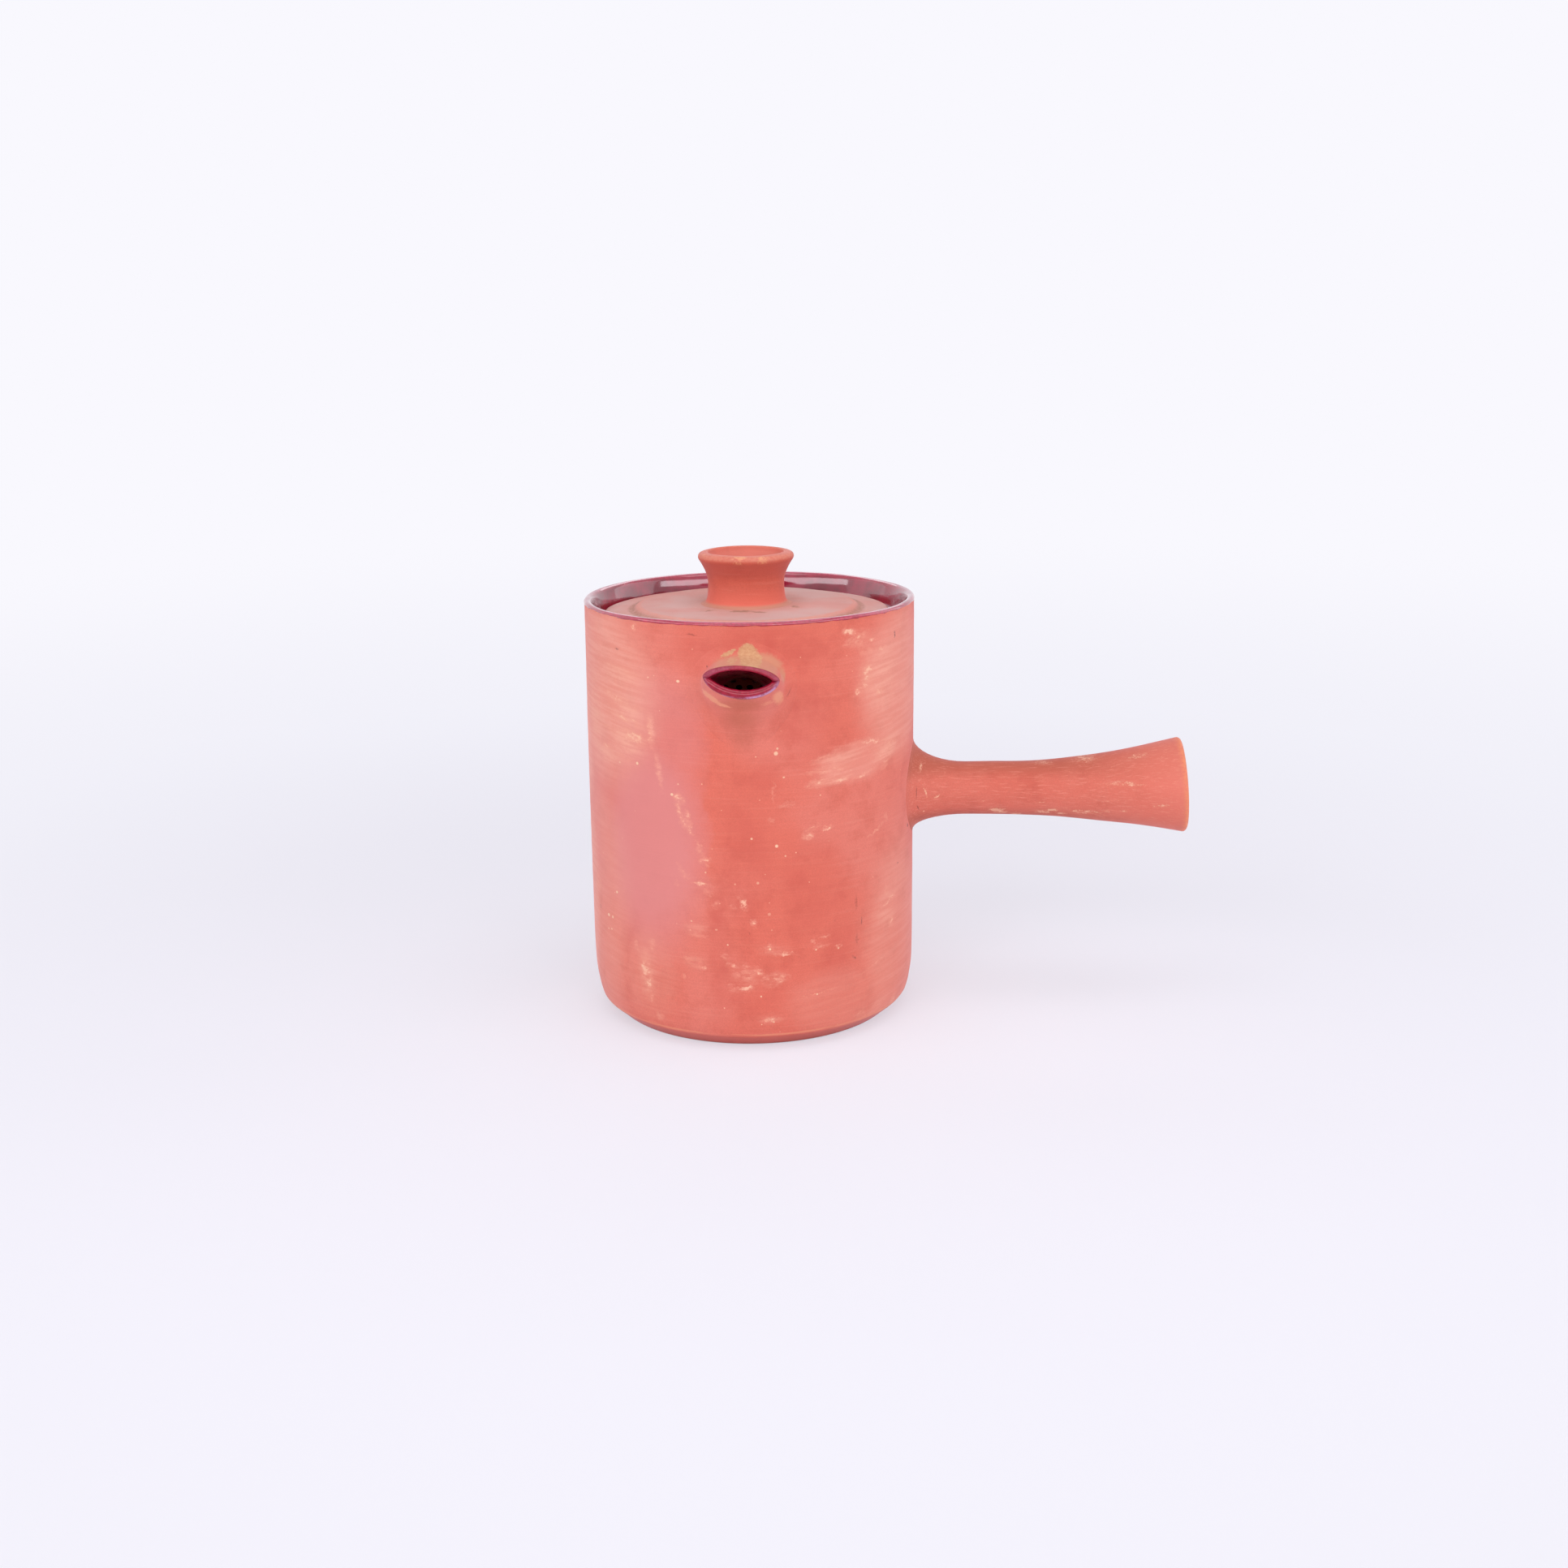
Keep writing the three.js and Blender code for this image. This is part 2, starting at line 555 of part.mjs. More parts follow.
const pot = new THREE.Group();
pot.add(mesh('pot_body', potBody(), TERRACOTTA));
pot.add(mesh('rim_glaze', rimGlaze(), PLUM_GLAZE));
pot.add(mesh('interior_glaze', interiorGlaze(), PLUM_GLAZE));
pot.add(mesh('spout', spout(), TERRACOTTA));
pot.add(mesh('spout_glaze', spoutGlaze(), PLUM_GLAZE));
pot.add(mesh('strainer', strainer(), TERRACOTTA));
teapot.add(pot);

const handleMount = new THREE.Group();
handleMount.rotation.z = -THREE.MathUtils.degToRad(HANDLE_SWING_DEG);
handleMount.add(mesh('side_handle', sideHandle(), TERRACOTTA));
teapot.add(handleMount);

const cover = new THREE.Group();
cover.position.set(-LID_OFFSET, 0, LEDGE_TOP + SEAT_GAP);
cover.add(mesh('lid', lid(), TERRACOTTA));
const knob = mesh('lid_knob', lidKnob(), TERRACOTTA);
knob.position.z = LID_MIDDLE_THICKNESS;
cover.add(knob);
teapot.add(cover);

export default teapot;
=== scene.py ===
# %% [markdown]
# # A terracotta teapot with a side handle
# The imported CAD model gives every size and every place, and it stays as it is. This lesson
# lays a finer skin of real clay and glaze over each of its nodes: round walls in place of
# facets, soft joints in place of cuts, and the marks that the kiln, the brush and years of
# use have left. The first cell loads the frame and keeps the box that the model fills.

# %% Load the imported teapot
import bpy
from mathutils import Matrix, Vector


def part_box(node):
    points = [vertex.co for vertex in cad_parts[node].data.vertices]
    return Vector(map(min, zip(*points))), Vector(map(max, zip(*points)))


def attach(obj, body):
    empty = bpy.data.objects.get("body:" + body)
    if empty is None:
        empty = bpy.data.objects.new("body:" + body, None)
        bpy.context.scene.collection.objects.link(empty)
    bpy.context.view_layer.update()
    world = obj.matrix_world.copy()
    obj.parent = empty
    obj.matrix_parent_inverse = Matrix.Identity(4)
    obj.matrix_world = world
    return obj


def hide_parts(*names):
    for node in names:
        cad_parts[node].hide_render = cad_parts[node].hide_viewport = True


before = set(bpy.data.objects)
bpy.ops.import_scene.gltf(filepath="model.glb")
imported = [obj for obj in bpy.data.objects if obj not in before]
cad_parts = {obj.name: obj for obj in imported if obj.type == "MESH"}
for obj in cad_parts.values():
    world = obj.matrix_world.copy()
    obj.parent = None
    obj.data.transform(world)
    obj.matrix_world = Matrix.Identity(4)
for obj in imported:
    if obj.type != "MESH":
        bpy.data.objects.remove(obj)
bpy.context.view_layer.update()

# %% Tools for the lesson
import math

import bmesh
import bpy
from mathutils import Matrix, Vector, noise

MM = 0.001


def clamp(value, low=0.0, high=1.0):
    """The value, held between two ends."""
    return max(low, min(high, value))


def ease(value):
    """0 to 1 with a soft start and a soft end."""
    share = clamp(value)
    return share * share * (3 - 2 * share)


print("a quarter of the way, ease gives", ease(0.25))

# %% [markdown]
# ## Sizes
# A potter measures with calipers, and here the frame is what gets measured. Each size is
# read from the box of a CAD node, so a change to the CAD model carries over. Lengths are
# in millimetres in this script and become metres when a piece is finished.

# %% Measure the frame
rim_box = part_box("rim_glaze")
pot_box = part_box("pot_body")
lid_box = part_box("lid")
knob_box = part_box("lid_knob")
handle_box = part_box("side_handle")
spout_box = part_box("spout_glaze")
strainer_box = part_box("strainer")

POT_HEIGHT = rim_box[1].z / MM
RIM_RADIUS = rim_box[1].x / MM
BELLY_RADIUS = pot_box[1].x / MM
LID_RADIUS = (lid_box[1].x - lid_box[0].x) / 2 / MM
LID_CENTRE = (lid_box[1].x + lid_box[0].x) / 2 / MM
LID_TOP = lid_box[1].z / MM
KNOB_LIP_RADIUS = (knob_box[1].x - knob_box[0].x) / 2 / MM
KNOB_TOP = knob_box[1].z / MM
SPOUT_REACH = -spout_box[0].y / MM - BELLY_RADIUS
STRAINER_CENTRE = (strainer_box[1].z + strainer_box[0].z) / 2 / MM
STRAINER_RADIUS = (strainer_box[1].z - strainer_box[0].z) / 2 / MM
print("pot", round(POT_HEIGHT, 1), "high", round(RIM_RADIUS, 1), "rim radius")
print("handle from", round(handle_box[0].x / MM, 1), "to", round(handle_box[1].x / MM, 1))
print("lid radius", round(LID_RADIUS, 1), "knob radius", round(KNOB_LIP_RADIUS, 1))

# %% [markdown]
# ## Camera
# The photograph was taken from a little above and almost straight in front of the spout.
# The camera could be aimed by hand, but the pot's own ellipses fix it: rim, foot and
# handle each land on their place in the picture with the position and axes below.

# %% Place the camera
CAMERA_PLACE = Vector((0.0284561, -0.6934044, 0.261466))
CAMERA_RIGHT = Vector((0.99977104, 0.02121219, -0.0103))
CAMERA_UP = Vector((0.00464059, 0.25128041, 0.96793512))
CAMERA_LENS = 44.72
CAMERA_SENSOR = 36
CAMERA_NEAR = 0.01
CAMERA_FAR = 50

camera = bpy.data.objects.new("camera", bpy.data.cameras.new("camera"))
camera.data.lens = CAMERA_LENS
camera.data.sensor_width = CAMERA_SENSOR
camera.data.clip_start = CAMERA_NEAR
camera.data.clip_end = CAMERA_FAR
camera_back = CAMERA_RIGHT.cross(CAMERA_UP).normalized()
camera_up = camera_back.cross(CAMERA_RIGHT).normalized()
camera_axes = Matrix((CAMERA_RIGHT.normalized(), camera_up, camera_back)).transposed()
camera.matrix_world = Matrix.Translation(CAMERA_PLACE) @ camera_axes.to_4x4()
bpy.context.scene.collection.objects.link(camera)
bpy.context.scene.camera = camera
bpy.context.scene.view_settings.view_transform = "Standard"
print("camera at", [round(value, 3) for value in CAMERA_PLACE])

# %% [markdown]
# ## Wiring nodes
# Materials are graphs of nodes. Adding each node by hand takes several lines, so a few
# short helpers add a node, wire it and hand back the socket that carries its result.


# %% Helpers that wire nodes
def chip(red, green, blue):
    """A colour as the eye reads it on a screen, 0 to 255, turned into linear light."""
    shares = [channel / 255 for channel in (red, green, blue)]
    linear = [s / 12.92 if s <= 0.04045 else ((s + 0.055) / 1.055) ** 2.4 for s in shares]
    return (*linear, 1)


def wire(tree, kind, wires=None, **settings):
    """Adds a node, sets it up and feeds its sockets from other sockets or plain values."""
    node = tree.nodes.new(kind)
    for name, value in settings.items():
        setattr(node, name, value)
    for name, value in (wires or {}).items():
        if isinstance(value, bpy.types.NodeSocket):
            tree.links.new(value, node.inputs[name])
        else:
            node.inputs[name].default_value = value
    return node


def sums(tree, operation, first, second=0.0, clamped=False):
    """One sum on numbers, such as ADD, MULTIPLY, MAXIMUM or POWER."""
    settings = {"operation": operation, "use_clamp": clamped}
    return wire(tree, "ShaderNodeMath", {0: first, 1: second}, **settings).outputs[0]


def blend(tree, share, first, second, mode="MIX"):
    """Colours mixed by a share, 0 for the first and 1 for the second."""
    settings = {"data_type": "RGBA", "blend_type": mode}
    return wire(tree, "ShaderNodeMix", {0: share, 6: first, 7: second}, **settings).outputs[2]


def remap(tree, value, low, high, first=0.0, last=1.0, soft=True):
    """Maps low..high to first..last and stops at both ends."""
    wires = {"Value": value, "From Min": low, "From Max": high, "To Min": first, "To Max": last}
    curve = "SMOOTHSTEP" if soft else "LINEAR"
    return wire(tree, "ShaderNodeMapRange", wires, interpolation_type=curve).outputs[0]


print("a chip of 128 is", round(chip(128, 128, 128)[0], 3), "in linear light")


# %% Helpers that draw patterns
def clouds(tree, place, scale, detail=3.0, rough=0.5, warp=0.0):
    """Soft noise, about 0.3 to 0.7."""
    wires = {"Vector": place, "Scale": scale, "Detail": detail, "Roughness": rough}
    wires["Distortion"] = warp
    return wire(tree, "ShaderNodeTexNoise", wires).outputs[0]


def stretch(tree, place, amounts):
    """The place with each of its axes stretched or squeezed."""
    wires = {0: place, 1: amounts}
    return wire(tree, "ShaderNodeVectorMath", wires, operation="MULTIPLY").outputs[0]


def place_in_mm(tree):
    """The point on the piece in millimetres, from Object coordinates."""
    metres = wire(tree, "ShaderNodeTexCoord").outputs["Object"]
    return stretch(tree, metres, (1 / MM, 1 / MM, 1 / MM))


def new_material(name):
    """An empty material with its output node."""
    material = bpy.data.materials.new(name)
    material.use_nodes = True
    material.node_tree.nodes.clear()
    output = material.node_tree.nodes.new("ShaderNodeOutputMaterial")
    return material, material.node_tree, output


print("patterns are drawn in steps of", MM, "m")

# %% [markdown]
# ## Studio
# The photograph has a seamless white sweep and one wide, low strip of light above and
# behind the camera: the glazed wall behind the lid mirrors it as a bright band. Three boxes
# in a row make that strip, a larger one overhead lights the lid, and dim ones at the sides
# and the back soften the edges. A curved backdrop would show its edge from some side, so
# the world itself is the backdrop: camera, glossy and transmission rays see it at a
# strength of 1, and every other ray gets the dimmer light that falls on the pot. The floor
# is a wide disc that fades into the same colour, and near the pot it keeps part of its
# plain lit surface, so that the soft shadow shows.

# %% Light the room
BACKDROP = chip(249, 248, 254)
NEAR_FLOOR = chip(240, 239, 248)
ROOM_LIGHT = chip(250, 248, 255)
ROOM_STRENGTH = 0.25


def seen_directly(tree):
    """1 for the rays that should meet the backdrop's own colour."""
    path = wire(tree, "ShaderNodeLightPath")
    kinds = ["Is Camera Ray", "Is Glossy Ray", "Is Transmission Ray"]
    first, second, third = [path.outputs[kind] for kind in kinds]
    both = sums(tree, "MAXIMUM", first, second)
    return sums(tree, "MAXIMUM", both, third)


world = bpy.data.worlds.new("studio")
world.use_nodes = True
bpy.context.scene.world = world
room = world.node_tree
room.nodes.clear()
shown_room = wire(room, "ShaderNodeBackground", {"Color": BACKDROP, "Strength": 1.0})
lit_room = wire(room, "ShaderNodeBackground", {"Color": ROOM_LIGHT, "Strength": ROOM_STRENGTH})
room_wires = {0: seen_directly(room), 1: lit_room.outputs[0], 2: shown_room.outputs[0]}
room_mix = wire(room, "ShaderNodeMixShader", room_wires)
wire(room, "ShaderNodeOutputWorld", {"Surface": room_mix.outputs[0]})
print("room strength", ROOM_STRENGTH)

# %% Spread the floor
FLOOR_RADIUS = 12.0
FLOOR_STEPS = 96
FLOOR_DROP = 0.0002
floor_shape = bmesh.new()
bmesh.ops.create_circle(floor_shape, cap_ends=True, radius=FLOOR_RADIUS, segments=FLOOR_STEPS)
bmesh.ops.translate(floor_shape, vec=(0, 0, -FLOOR_DROP), verts=floor_shape.verts)
floor_mesh = bpy.data.meshes.new("floor")
floor_shape.to_mesh(floor_mesh)
floor_shape.free()
floor = bpy.data.objects.new("floor", floor_mesh)
bpy.context.scene.collection.objects.link(floor)
print("floor radius", FLOOR_RADIUS, "m")

# %% Colour the floor
LIT_FLOOR = chip(247, 245, 251)
SHADOW_REACH = (0.16, 0.55)
SHADOW_SHARE = 0.42
TINT_REACH = (0.2, 1.4)
UNDERSIDE_GAP = 0.0012
floor_material, tree, output = new_material("studio sweep")
spot = wire(tree, "ShaderNodeTexCoord").outputs["Object"]
away = wire(tree, "ShaderNodeVectorMath", {0: spot}, operation="LENGTH").outputs[1]
fade = remap(tree, away, *SHADOW_REACH)
tint = blend(tree, remap(tree, away, *TINT_REACH), NEAR_FLOOR, BACKDROP)
lit_floor = wire(tree, "ShaderNodeBsdfDiffuse", {"Color": LIT_FLOOR})
plain_floor = wire(tree, "ShaderNodeEmission", {"Color": tint, "Strength": 1.0})
plain_share = remap(tree, fade, 0, 1, 1 - SHADOW_SHARE, 1, soft=False)
direct_share = sums(tree, "MULTIPLY", seen_directly(tree), plain_share)
mix_wires = {0: direct_share, 1: lit_floor.outputs[0], 2: plain_floor.outputs[0]}
floor_mix = wire(tree, "ShaderNodeMixShader", mix_wires)
# The floor is clear from below, and for the rays that leave the pot's underside
from_below = wire(tree, "ShaderNodeNewGeometry").outputs["Backfacing"]
ray_length = wire(tree, "ShaderNodeLightPath").outputs["Ray Length"]
under_pot = sums(tree, "LESS_THAN", ray_length, UNDERSIDE_GAP)
clear_share = sums(tree, "MAXIMUM", from_below, under_pot)
clear = wire(tree, "ShaderNodeBsdfTransparent")
floor_wires = {0: clear_share, 1: floor_mix.outputs[0], 2: clear.outputs[0]}
tree.links.new(wire(tree, "ShaderNodeMixShader", floor_wires).outputs[0], output.inputs["Surface"])
floor_mesh.materials.append(floor_material)
print("floor material", len(tree.nodes), "nodes")

# %% Hang the soft boxes
COOL_WHITE = chip(252, 250, 255)
LAMP_AIM = Vector((0, 0, 0.08))
# Name, azimuth, elevation, distance, width, height and power
SOFT_BOXES = [
    ("left_box", -52, 30, 1.1, 1.22, 0.26, 4.0),
    ("front_box", 0, 32, 1.1, 0.94, 0.26, 3.1),
    ("right_box", 49, 30, 1.1, 1.07, 0.26, 3.6),
    ("top_box", 10, 78, 1.3, 1.45, 0.6, 4.2),
    ("back_box", 180, 35, 1.6, 1.4, 0.5, 3.0),
    ("left_edge_box", -104, 20, 1.0, 0.75, 0.9, 1.0),
    ("right_edge_box", 108, 20, 1.0, 0.75, 0.9, 2.0),
]


def soft_box(name, azimuth, elevation, distance, width, height, power, colour):
    """A rectangular lamp that looks at the pot. Azimuth 0 is in front, 90 on the right."""
    turn = math.radians(azimuth)
    rise = math.radians(elevation)
    level = math.cos(rise)
    towards = Vector((math.sin(turn) * level, -math.cos(turn) * level, math.sin(rise)))
    lamp = bpy.data.lights.new(name, "AREA")
    lamp.shape = "RECTANGLE"
    lamp.size = width
    lamp.size_y = height
    lamp.energy = power
    lamp.color = colour[:3]
    box = bpy.data.objects.new(name, lamp)
    box.location = LAMP_AIM + towards * distance
    box.rotation_mode = "QUATERNION"
    box.rotation_quaternion = (-towards).to_track_quat("-Z", "Y")
    box.visible_camera = False
    bpy.context.scene.collection.objects.link(box)
    print("lamp", name, power, "W")


for settings in SOFT_BOXES:
    soft_box(*settings, COOL_WHITE)

# %% [markdown]
# ## Shaping helpers
# Two ways of forming clay cover this teapot. Thrown pieces, the pot, lid, knob and
# strainer, are outlines spun round an axis, as the wheel does it. Pulled pieces, the spout
# and the handle, are tubes whose section changes along the way. A tube could be bridged
# ring by ring, but a flat grid that is rolled up and sewn along its seams gives the same
# mesh in one step, as a potter rolls a slab.


# %% Helpers that form clay
SEW_REACH = 0.0005
FLAT_EDGE = 0.0001


def finish_piece(name, shell):
    """Turns a bmesh in millimetres into an object in metres that sits at the origin."""
    bmesh.ops.scale(shell, vec=(MM, MM, MM), verts=shell.verts)
    for face in shell.faces:
        face.smooth = True
    mesh = bpy.data.meshes.new(name)
    shell.to_mesh(mesh)
    shell.free()
    piece = bpy.data.objects.new(name, mesh)
    bpy.context.scene.collection.objects.link(piece)
    print(name, len(mesh.polygons), "faces")
    return piece


def close_up(shell):
    """Sews the seams and poles and turns every face outwards."""
    bmesh.ops.remove_doubles(shell, verts=shell.verts, dist=SEW_REACH)
    bmesh.ops.dissolve_degenerate(shell, edges=shell.edges, dist=FLAT_EDGE)
    bmesh.ops.recalc_face_normals(shell, faces=shell.faces)


print("seams closer than", SEW_REACH, "mm are sewn")


# %% Helpers that throw and roll
def thrown(outline, steps):
    """Spins an outline of (radius, height) points once round the upright axis."""
    shell = bmesh.new()
    line = [shell.verts.new((radius, 0, height)) for radius, height in outline]
    for start, end in zip(line, line[1:]):
        shell.edges.new((start, end))
    wheel = {"cent": (0, 0, 0), "axis": (0, 0, 1), "dvec": (0, 0, 0), "angle": 2 * math.pi}
    geometry = shell.verts[:] + shell.edges[:]
    bmesh.ops.spin(shell, geom=geometry, steps=steps, use_merge=True, **wheel)
    close_up(shell)
    return shell


def rolled(rings, steps, shape):
    """A slab rolled into a tube and joined end to end: shape(ring, turn) places each point."""
    shell = bmesh.new()
    bmesh.ops.create_grid(shell, x_segments=rings, y_segments=steps, size=0.5)
    for vert in shell.verts:
        ring = round((vert.co.x + 0.5) * rings) % rings
        turn = 2 * math.pi * (round((vert.co.y + 0.5) * steps) % steps) / steps
        vert.co = shape(ring, turn)
    close_up(shell)
    return shell


print("ready to throw and to roll")


# %% Helpers that draw outlines
def curve_through(points, steps):
    """A smooth line that passes through every point, with some steps between each two."""
    line = []
    ends = [points[0], *points, points[-1]]
    for before, start, end, after in zip(ends, ends[1:], ends[2:], ends[3:]):
        a, b, c, d = (Vector(point) for point in (before, start, end, after))
        for step in range(steps):
            t = step / steps
            bend = (2 * a - 5 * b + 4 * c - d) * t * t + (3 * b - a - 3 * c + d) * t ** 3
            line.append(tuple(b + ((c - a) * t + bend) / 2))
    line.append(tuple(points[-1]))
    return line


def bow(centre, radii, start, end, steps):
    """Points on an ellipse in the turning plane, from one angle to another in degrees."""
    points = []
    for step in range(steps + 1):
        angle = math.radians(start + (end - start) * step / steps)
        reach = (radii[0] * math.cos(angle), radii[1] * math.sin(angle))
        points.append((centre[0] + reach[0], centre[1] + reach[1]))
    return points


def straight(start, end, pitch):
    """Evenly spaced points from start up to, but without, end."""
    count = max(1, round((Vector(end) - Vector(start)).length / pitch))
    return [tuple(Vector(start).lerp(Vector(end), step / count)) for step in range(count)]


print("a quarter bow:", [tuple(round(v, 2) for v in p) for p in bow((0, 0), (1, 1), 0, 90, 2)])

# %% A helper that carves
CREASE_ANGLE = math.radians(50)


def carve(piece, cutter):
    """Cuts one piece with another by Boolean and keeps the result as the piece's own mesh."""
    knife = piece.modifiers.new("carve", "BOOLEAN")
    knife.object = cutter
    knife.operation = "DIFFERENCE"
    knife.solver = "EXACT"
    graph = bpy.context.evaluated_depsgraph_get()
    cut_mesh = bpy.data.meshes.new_from_object(piece.evaluated_get(graph))
    cut_mesh.name = piece.name
    piece.modifiers.clear()
    piece.data = cut_mesh
    bpy.data.objects.remove(cutter)
    cut_mesh.set_sharp_from_angle(angle=CREASE_ANGLE)
    print(piece.name, "carved:", len(cut_mesh.polygons), "faces")


print("edges sharper than", round(math.degrees(CREASE_ANGLE)), "degrees stay crisp")

# %% [markdown]
# ## Pot
# The pot is thrown: a straight wall on a bevelled foot, a rounded lip, and a ledge inside
# on which the lid rests. A perfect cylinder would look moulded, so the wall wanders by a
# few tenths of a millimetre, and faint throwing rings run round it. The same wobble moves
# the glaze and the feet of the spout and handle, which is why it is a function of place.

# %% Size the pot
BELLY_HEIGHT = 50.0
FOOT_EDGE_RADIUS = BELLY_RADIUS - 2.2
FOOT_EDGE_HEIGHT = 5.7
FOOT_RADIUS = FOOT_EDGE_RADIUS - 5.8
WALL_EASE = [(0, 0), (0.48, 0.1), (0.91, 0.32), (1, 1)]
LIP_CENTRE = (RIM_RADIUS - 1.0, POT_HEIGHT - 1.25)
LIP_RADIUS = 1.0
NECK_RADIUS = RIM_RADIUS - 4.5
LEDGE_TOP = POT_HEIGHT - 8.6
LEDGE_RADIUS = 47.5
LEDGE_BOTTOM = LEDGE_TOP - 2.2
LEDGE_ROOT = LEDGE_TOP - 6.1
INNER_RADIUS = NECK_RADIUS + 0.5
FLOOR_TOP = 6.3
FLOOR_CORNER = 8.0
GLAZE_TAIL = POT_HEIGHT - 1.1
POT_STEPS = 168
print("foot", round(2 * FOOT_RADIUS, 1), "across, ledge", round(LEDGE_TOP, 1), "up")

# %% Let the wall wander
SLOW_STRAY = 0.34
MIDDLE_STRAY = 0.12
RING_STRAY = 0.05
RIM_LIFT = 0.22
STRAY_START = 44
STRAY_EASE = 6


def wobble(place):
    """How a thrown wall strays from a true circle, in millimetres."""
    slow = noise.noise(Vector((place.x * 0.016, place.y * 0.016, place.z * 0.011)))
    middle = noise.noise(Vector((place.x * 0.05 + 9, place.y * 0.05, place.z * 0.04)))
    rings = noise.noise(Vector((2.7, 5.1, place.z * 0.34)))
    return SLOW_STRAY * slow + MIDDLE_STRAY * middle + RING_STRAY * rings


def settle(place):
    """A point of the pot after throwing: the wall strays outwards, and the rim in height."""
    radius = math.hypot(place.x, place.y)
    outer = ease((radius - STRAY_START) / STRAY_EASE)
    if outer == 0:
        return place
    stray = wobble(place) * outer * ease(place.z / 6 + 0.25)
    moved = Vector((place.x, place.y, 0)) * (1 + stray / radius)
    rim = ease((place.z - POT_HEIGHT + 5) / 4)
    lift = noise.noise(Vector((place.x * 0.03, place.y * 0.03, 4.2)))
    return Vector((moved.x, moved.y, place.z + RIM_LIFT * rim * lift))


print("wobble above the spout", round(wobble(Vector((0, -RIM_RADIUS, POT_HEIGHT))), 2), "mm")


# %% Draw the pot's outside
def wall_radius(height):
    """Outside radius of the pot before it wobbles."""
    if height >= BELLY_HEIGHT:
        share = (height - BELLY_HEIGHT) / (POT_HEIGHT - BELLY_HEIGHT)
        return BELLY_RADIUS + (RIM_RADIUS - BELLY_RADIUS) * share
    for low, high in zip(wall_line, wall_line[1:]):
        if low[1] <= height <= high[1]:
            share = (height - low[1]) / (high[1] - low[1])
            return low[0] + (high[0] - low[0]) * share
    return FOOT_EDGE_RADIUS


wall_rise = [
    (
        FOOT_EDGE_RADIUS + (BELLY_RADIUS - FOOT_EDGE_RADIUS) * wide,
        FOOT_EDGE_HEIGHT + (BELLY_HEIGHT - FOOT_EDGE_HEIGHT) * high,
    )
    for wide, high in WALL_EASE
]
wall_line = curve_through(wall_rise, 9)
foot_line = [
    (FOOT_RADIUS - 2.5, 0),
    (FOOT_RADIUS - 0.7, 0),
    (FOOT_RADIUS - 0.15, 0.12),
    (FOOT_RADIUS + 0.35, 0.5),
    *straight((FOOT_RADIUS + 0.9, 1.05), (FOOT_EDGE_RADIUS - 0.85, FOOT_EDGE_HEIGHT - 1.25), 0.8),
    (FOOT_EDGE_RADIUS - 0.75, FOOT_EDGE_HEIGHT - 1.1),
    (FOOT_EDGE_RADIUS - 0.3, FOOT_EDGE_HEIGHT - 0.5),
]
under_line = [
    (0, 1.0),
    (FOOT_RADIUS - 5.5, 1.0),
    (FOOT_RADIUS - 4.2, 0.75),
    (FOOT_RADIUS - 3.3, 0.25),
]
upper_wall = straight((BELLY_RADIUS, BELLY_HEIGHT), (RIM_RADIUS, GLAZE_TAIL - 1.6), 1.6)
# The last stretch is cut finely, for the glaze's edge to wave along
tail_wall = straight((RIM_RADIUS, GLAZE_TAIL - 1.6), (RIM_RADIUS, LIP_CENTRE[1]), 0.27)
outside_line = [*under_line, *foot_line, *wall_line[:-1], *upper_wall, *tail_wall]
print(len(outside_line), "points outside")

# %% Draw the pot's lip and inside
lip_line = bow(LIP_CENTRE, (LIP_RADIUS, LIP_RADIUS + 0.15), 0, 96, 12)
neck_line = curve_through(
    [
        lip_line[-1],
        (RIM_RADIUS - 1.9, POT_HEIGHT - 0.35),
        (RIM_RADIUS - 2.48, POT_HEIGHT - 1.0),
        (RIM_RADIUS - 2.82, POT_HEIGHT - 1.7),
        (RIM_RADIUS - 3.17, POT_HEIGHT - 2.7),
        (RIM_RADIUS - 3.5, POT_HEIGHT - 3.8),
        (RIM_RADIUS - 3.8, POT_HEIGHT - 5.0),
        (RIM_RADIUS - 4.05, POT_HEIGHT - 6.3),
        (RIM_RADIUS - 4.4, LEDGE_TOP + 1.0),
        (RIM_RADIUS - 4.8, LEDGE_TOP + 0.35),
        (RIM_RADIUS - 5.5, LEDGE_TOP + 0.08),
    ],
    3,
)
ledge_line = [
    (NECK_RADIUS - 2.0, LEDGE_TOP),
    (LEDGE_RADIUS + 2.5, LEDGE_TOP),
    (LEDGE_RADIUS + 0.6, LEDGE_TOP),
    (LEDGE_RADIUS + 0.15, LEDGE_TOP - 0.2),
    (LEDGE_RADIUS, LEDGE_TOP - 0.7),
    (LEDGE_RADIUS, LEDGE_BOTTOM + 0.5),
    (LEDGE_RADIUS + 0.3, LEDGE_BOTTOM),
]
cove_line = curve_through(
    [
        (LEDGE_RADIUS + 1.0, LEDGE_BOTTOM - 0.3),
        (INNER_RADIUS - 2.4, LEDGE_ROOT + 1.9),
        (INNER_RADIUS - 0.5, LEDGE_ROOT),
        (INNER_RADIUS, LEDGE_ROOT - 3),
    ],
    4,
)
inner_foot = (INNER_RADIUS, FLOOR_TOP + FLOOR_CORNER)
inner_wall = straight((INNER_RADIUS, LEDGE_ROOT - 4.5), inner_foot, 3.2)
corner_centre = (INNER_RADIUS - FLOOR_CORNER, FLOOR_TOP + FLOOR_CORNER)
floor_corner = bow(corner_centre, (FLOOR_CORNER, FLOOR_CORNER), 0, -90, 9)
floor_line = [(36, FLOOR_TOP), (24, FLOOR_TOP - 0.1), (12, FLOOR_TOP - 0.2), (0, FLOOR_TOP - 0.2)]
inside_line = [*neck_line[1:], *ledge_line, *cove_line, *inner_wall, *floor_corner, *floor_line]
print(len(lip_line) + len(inside_line), "points on the lip and inside")

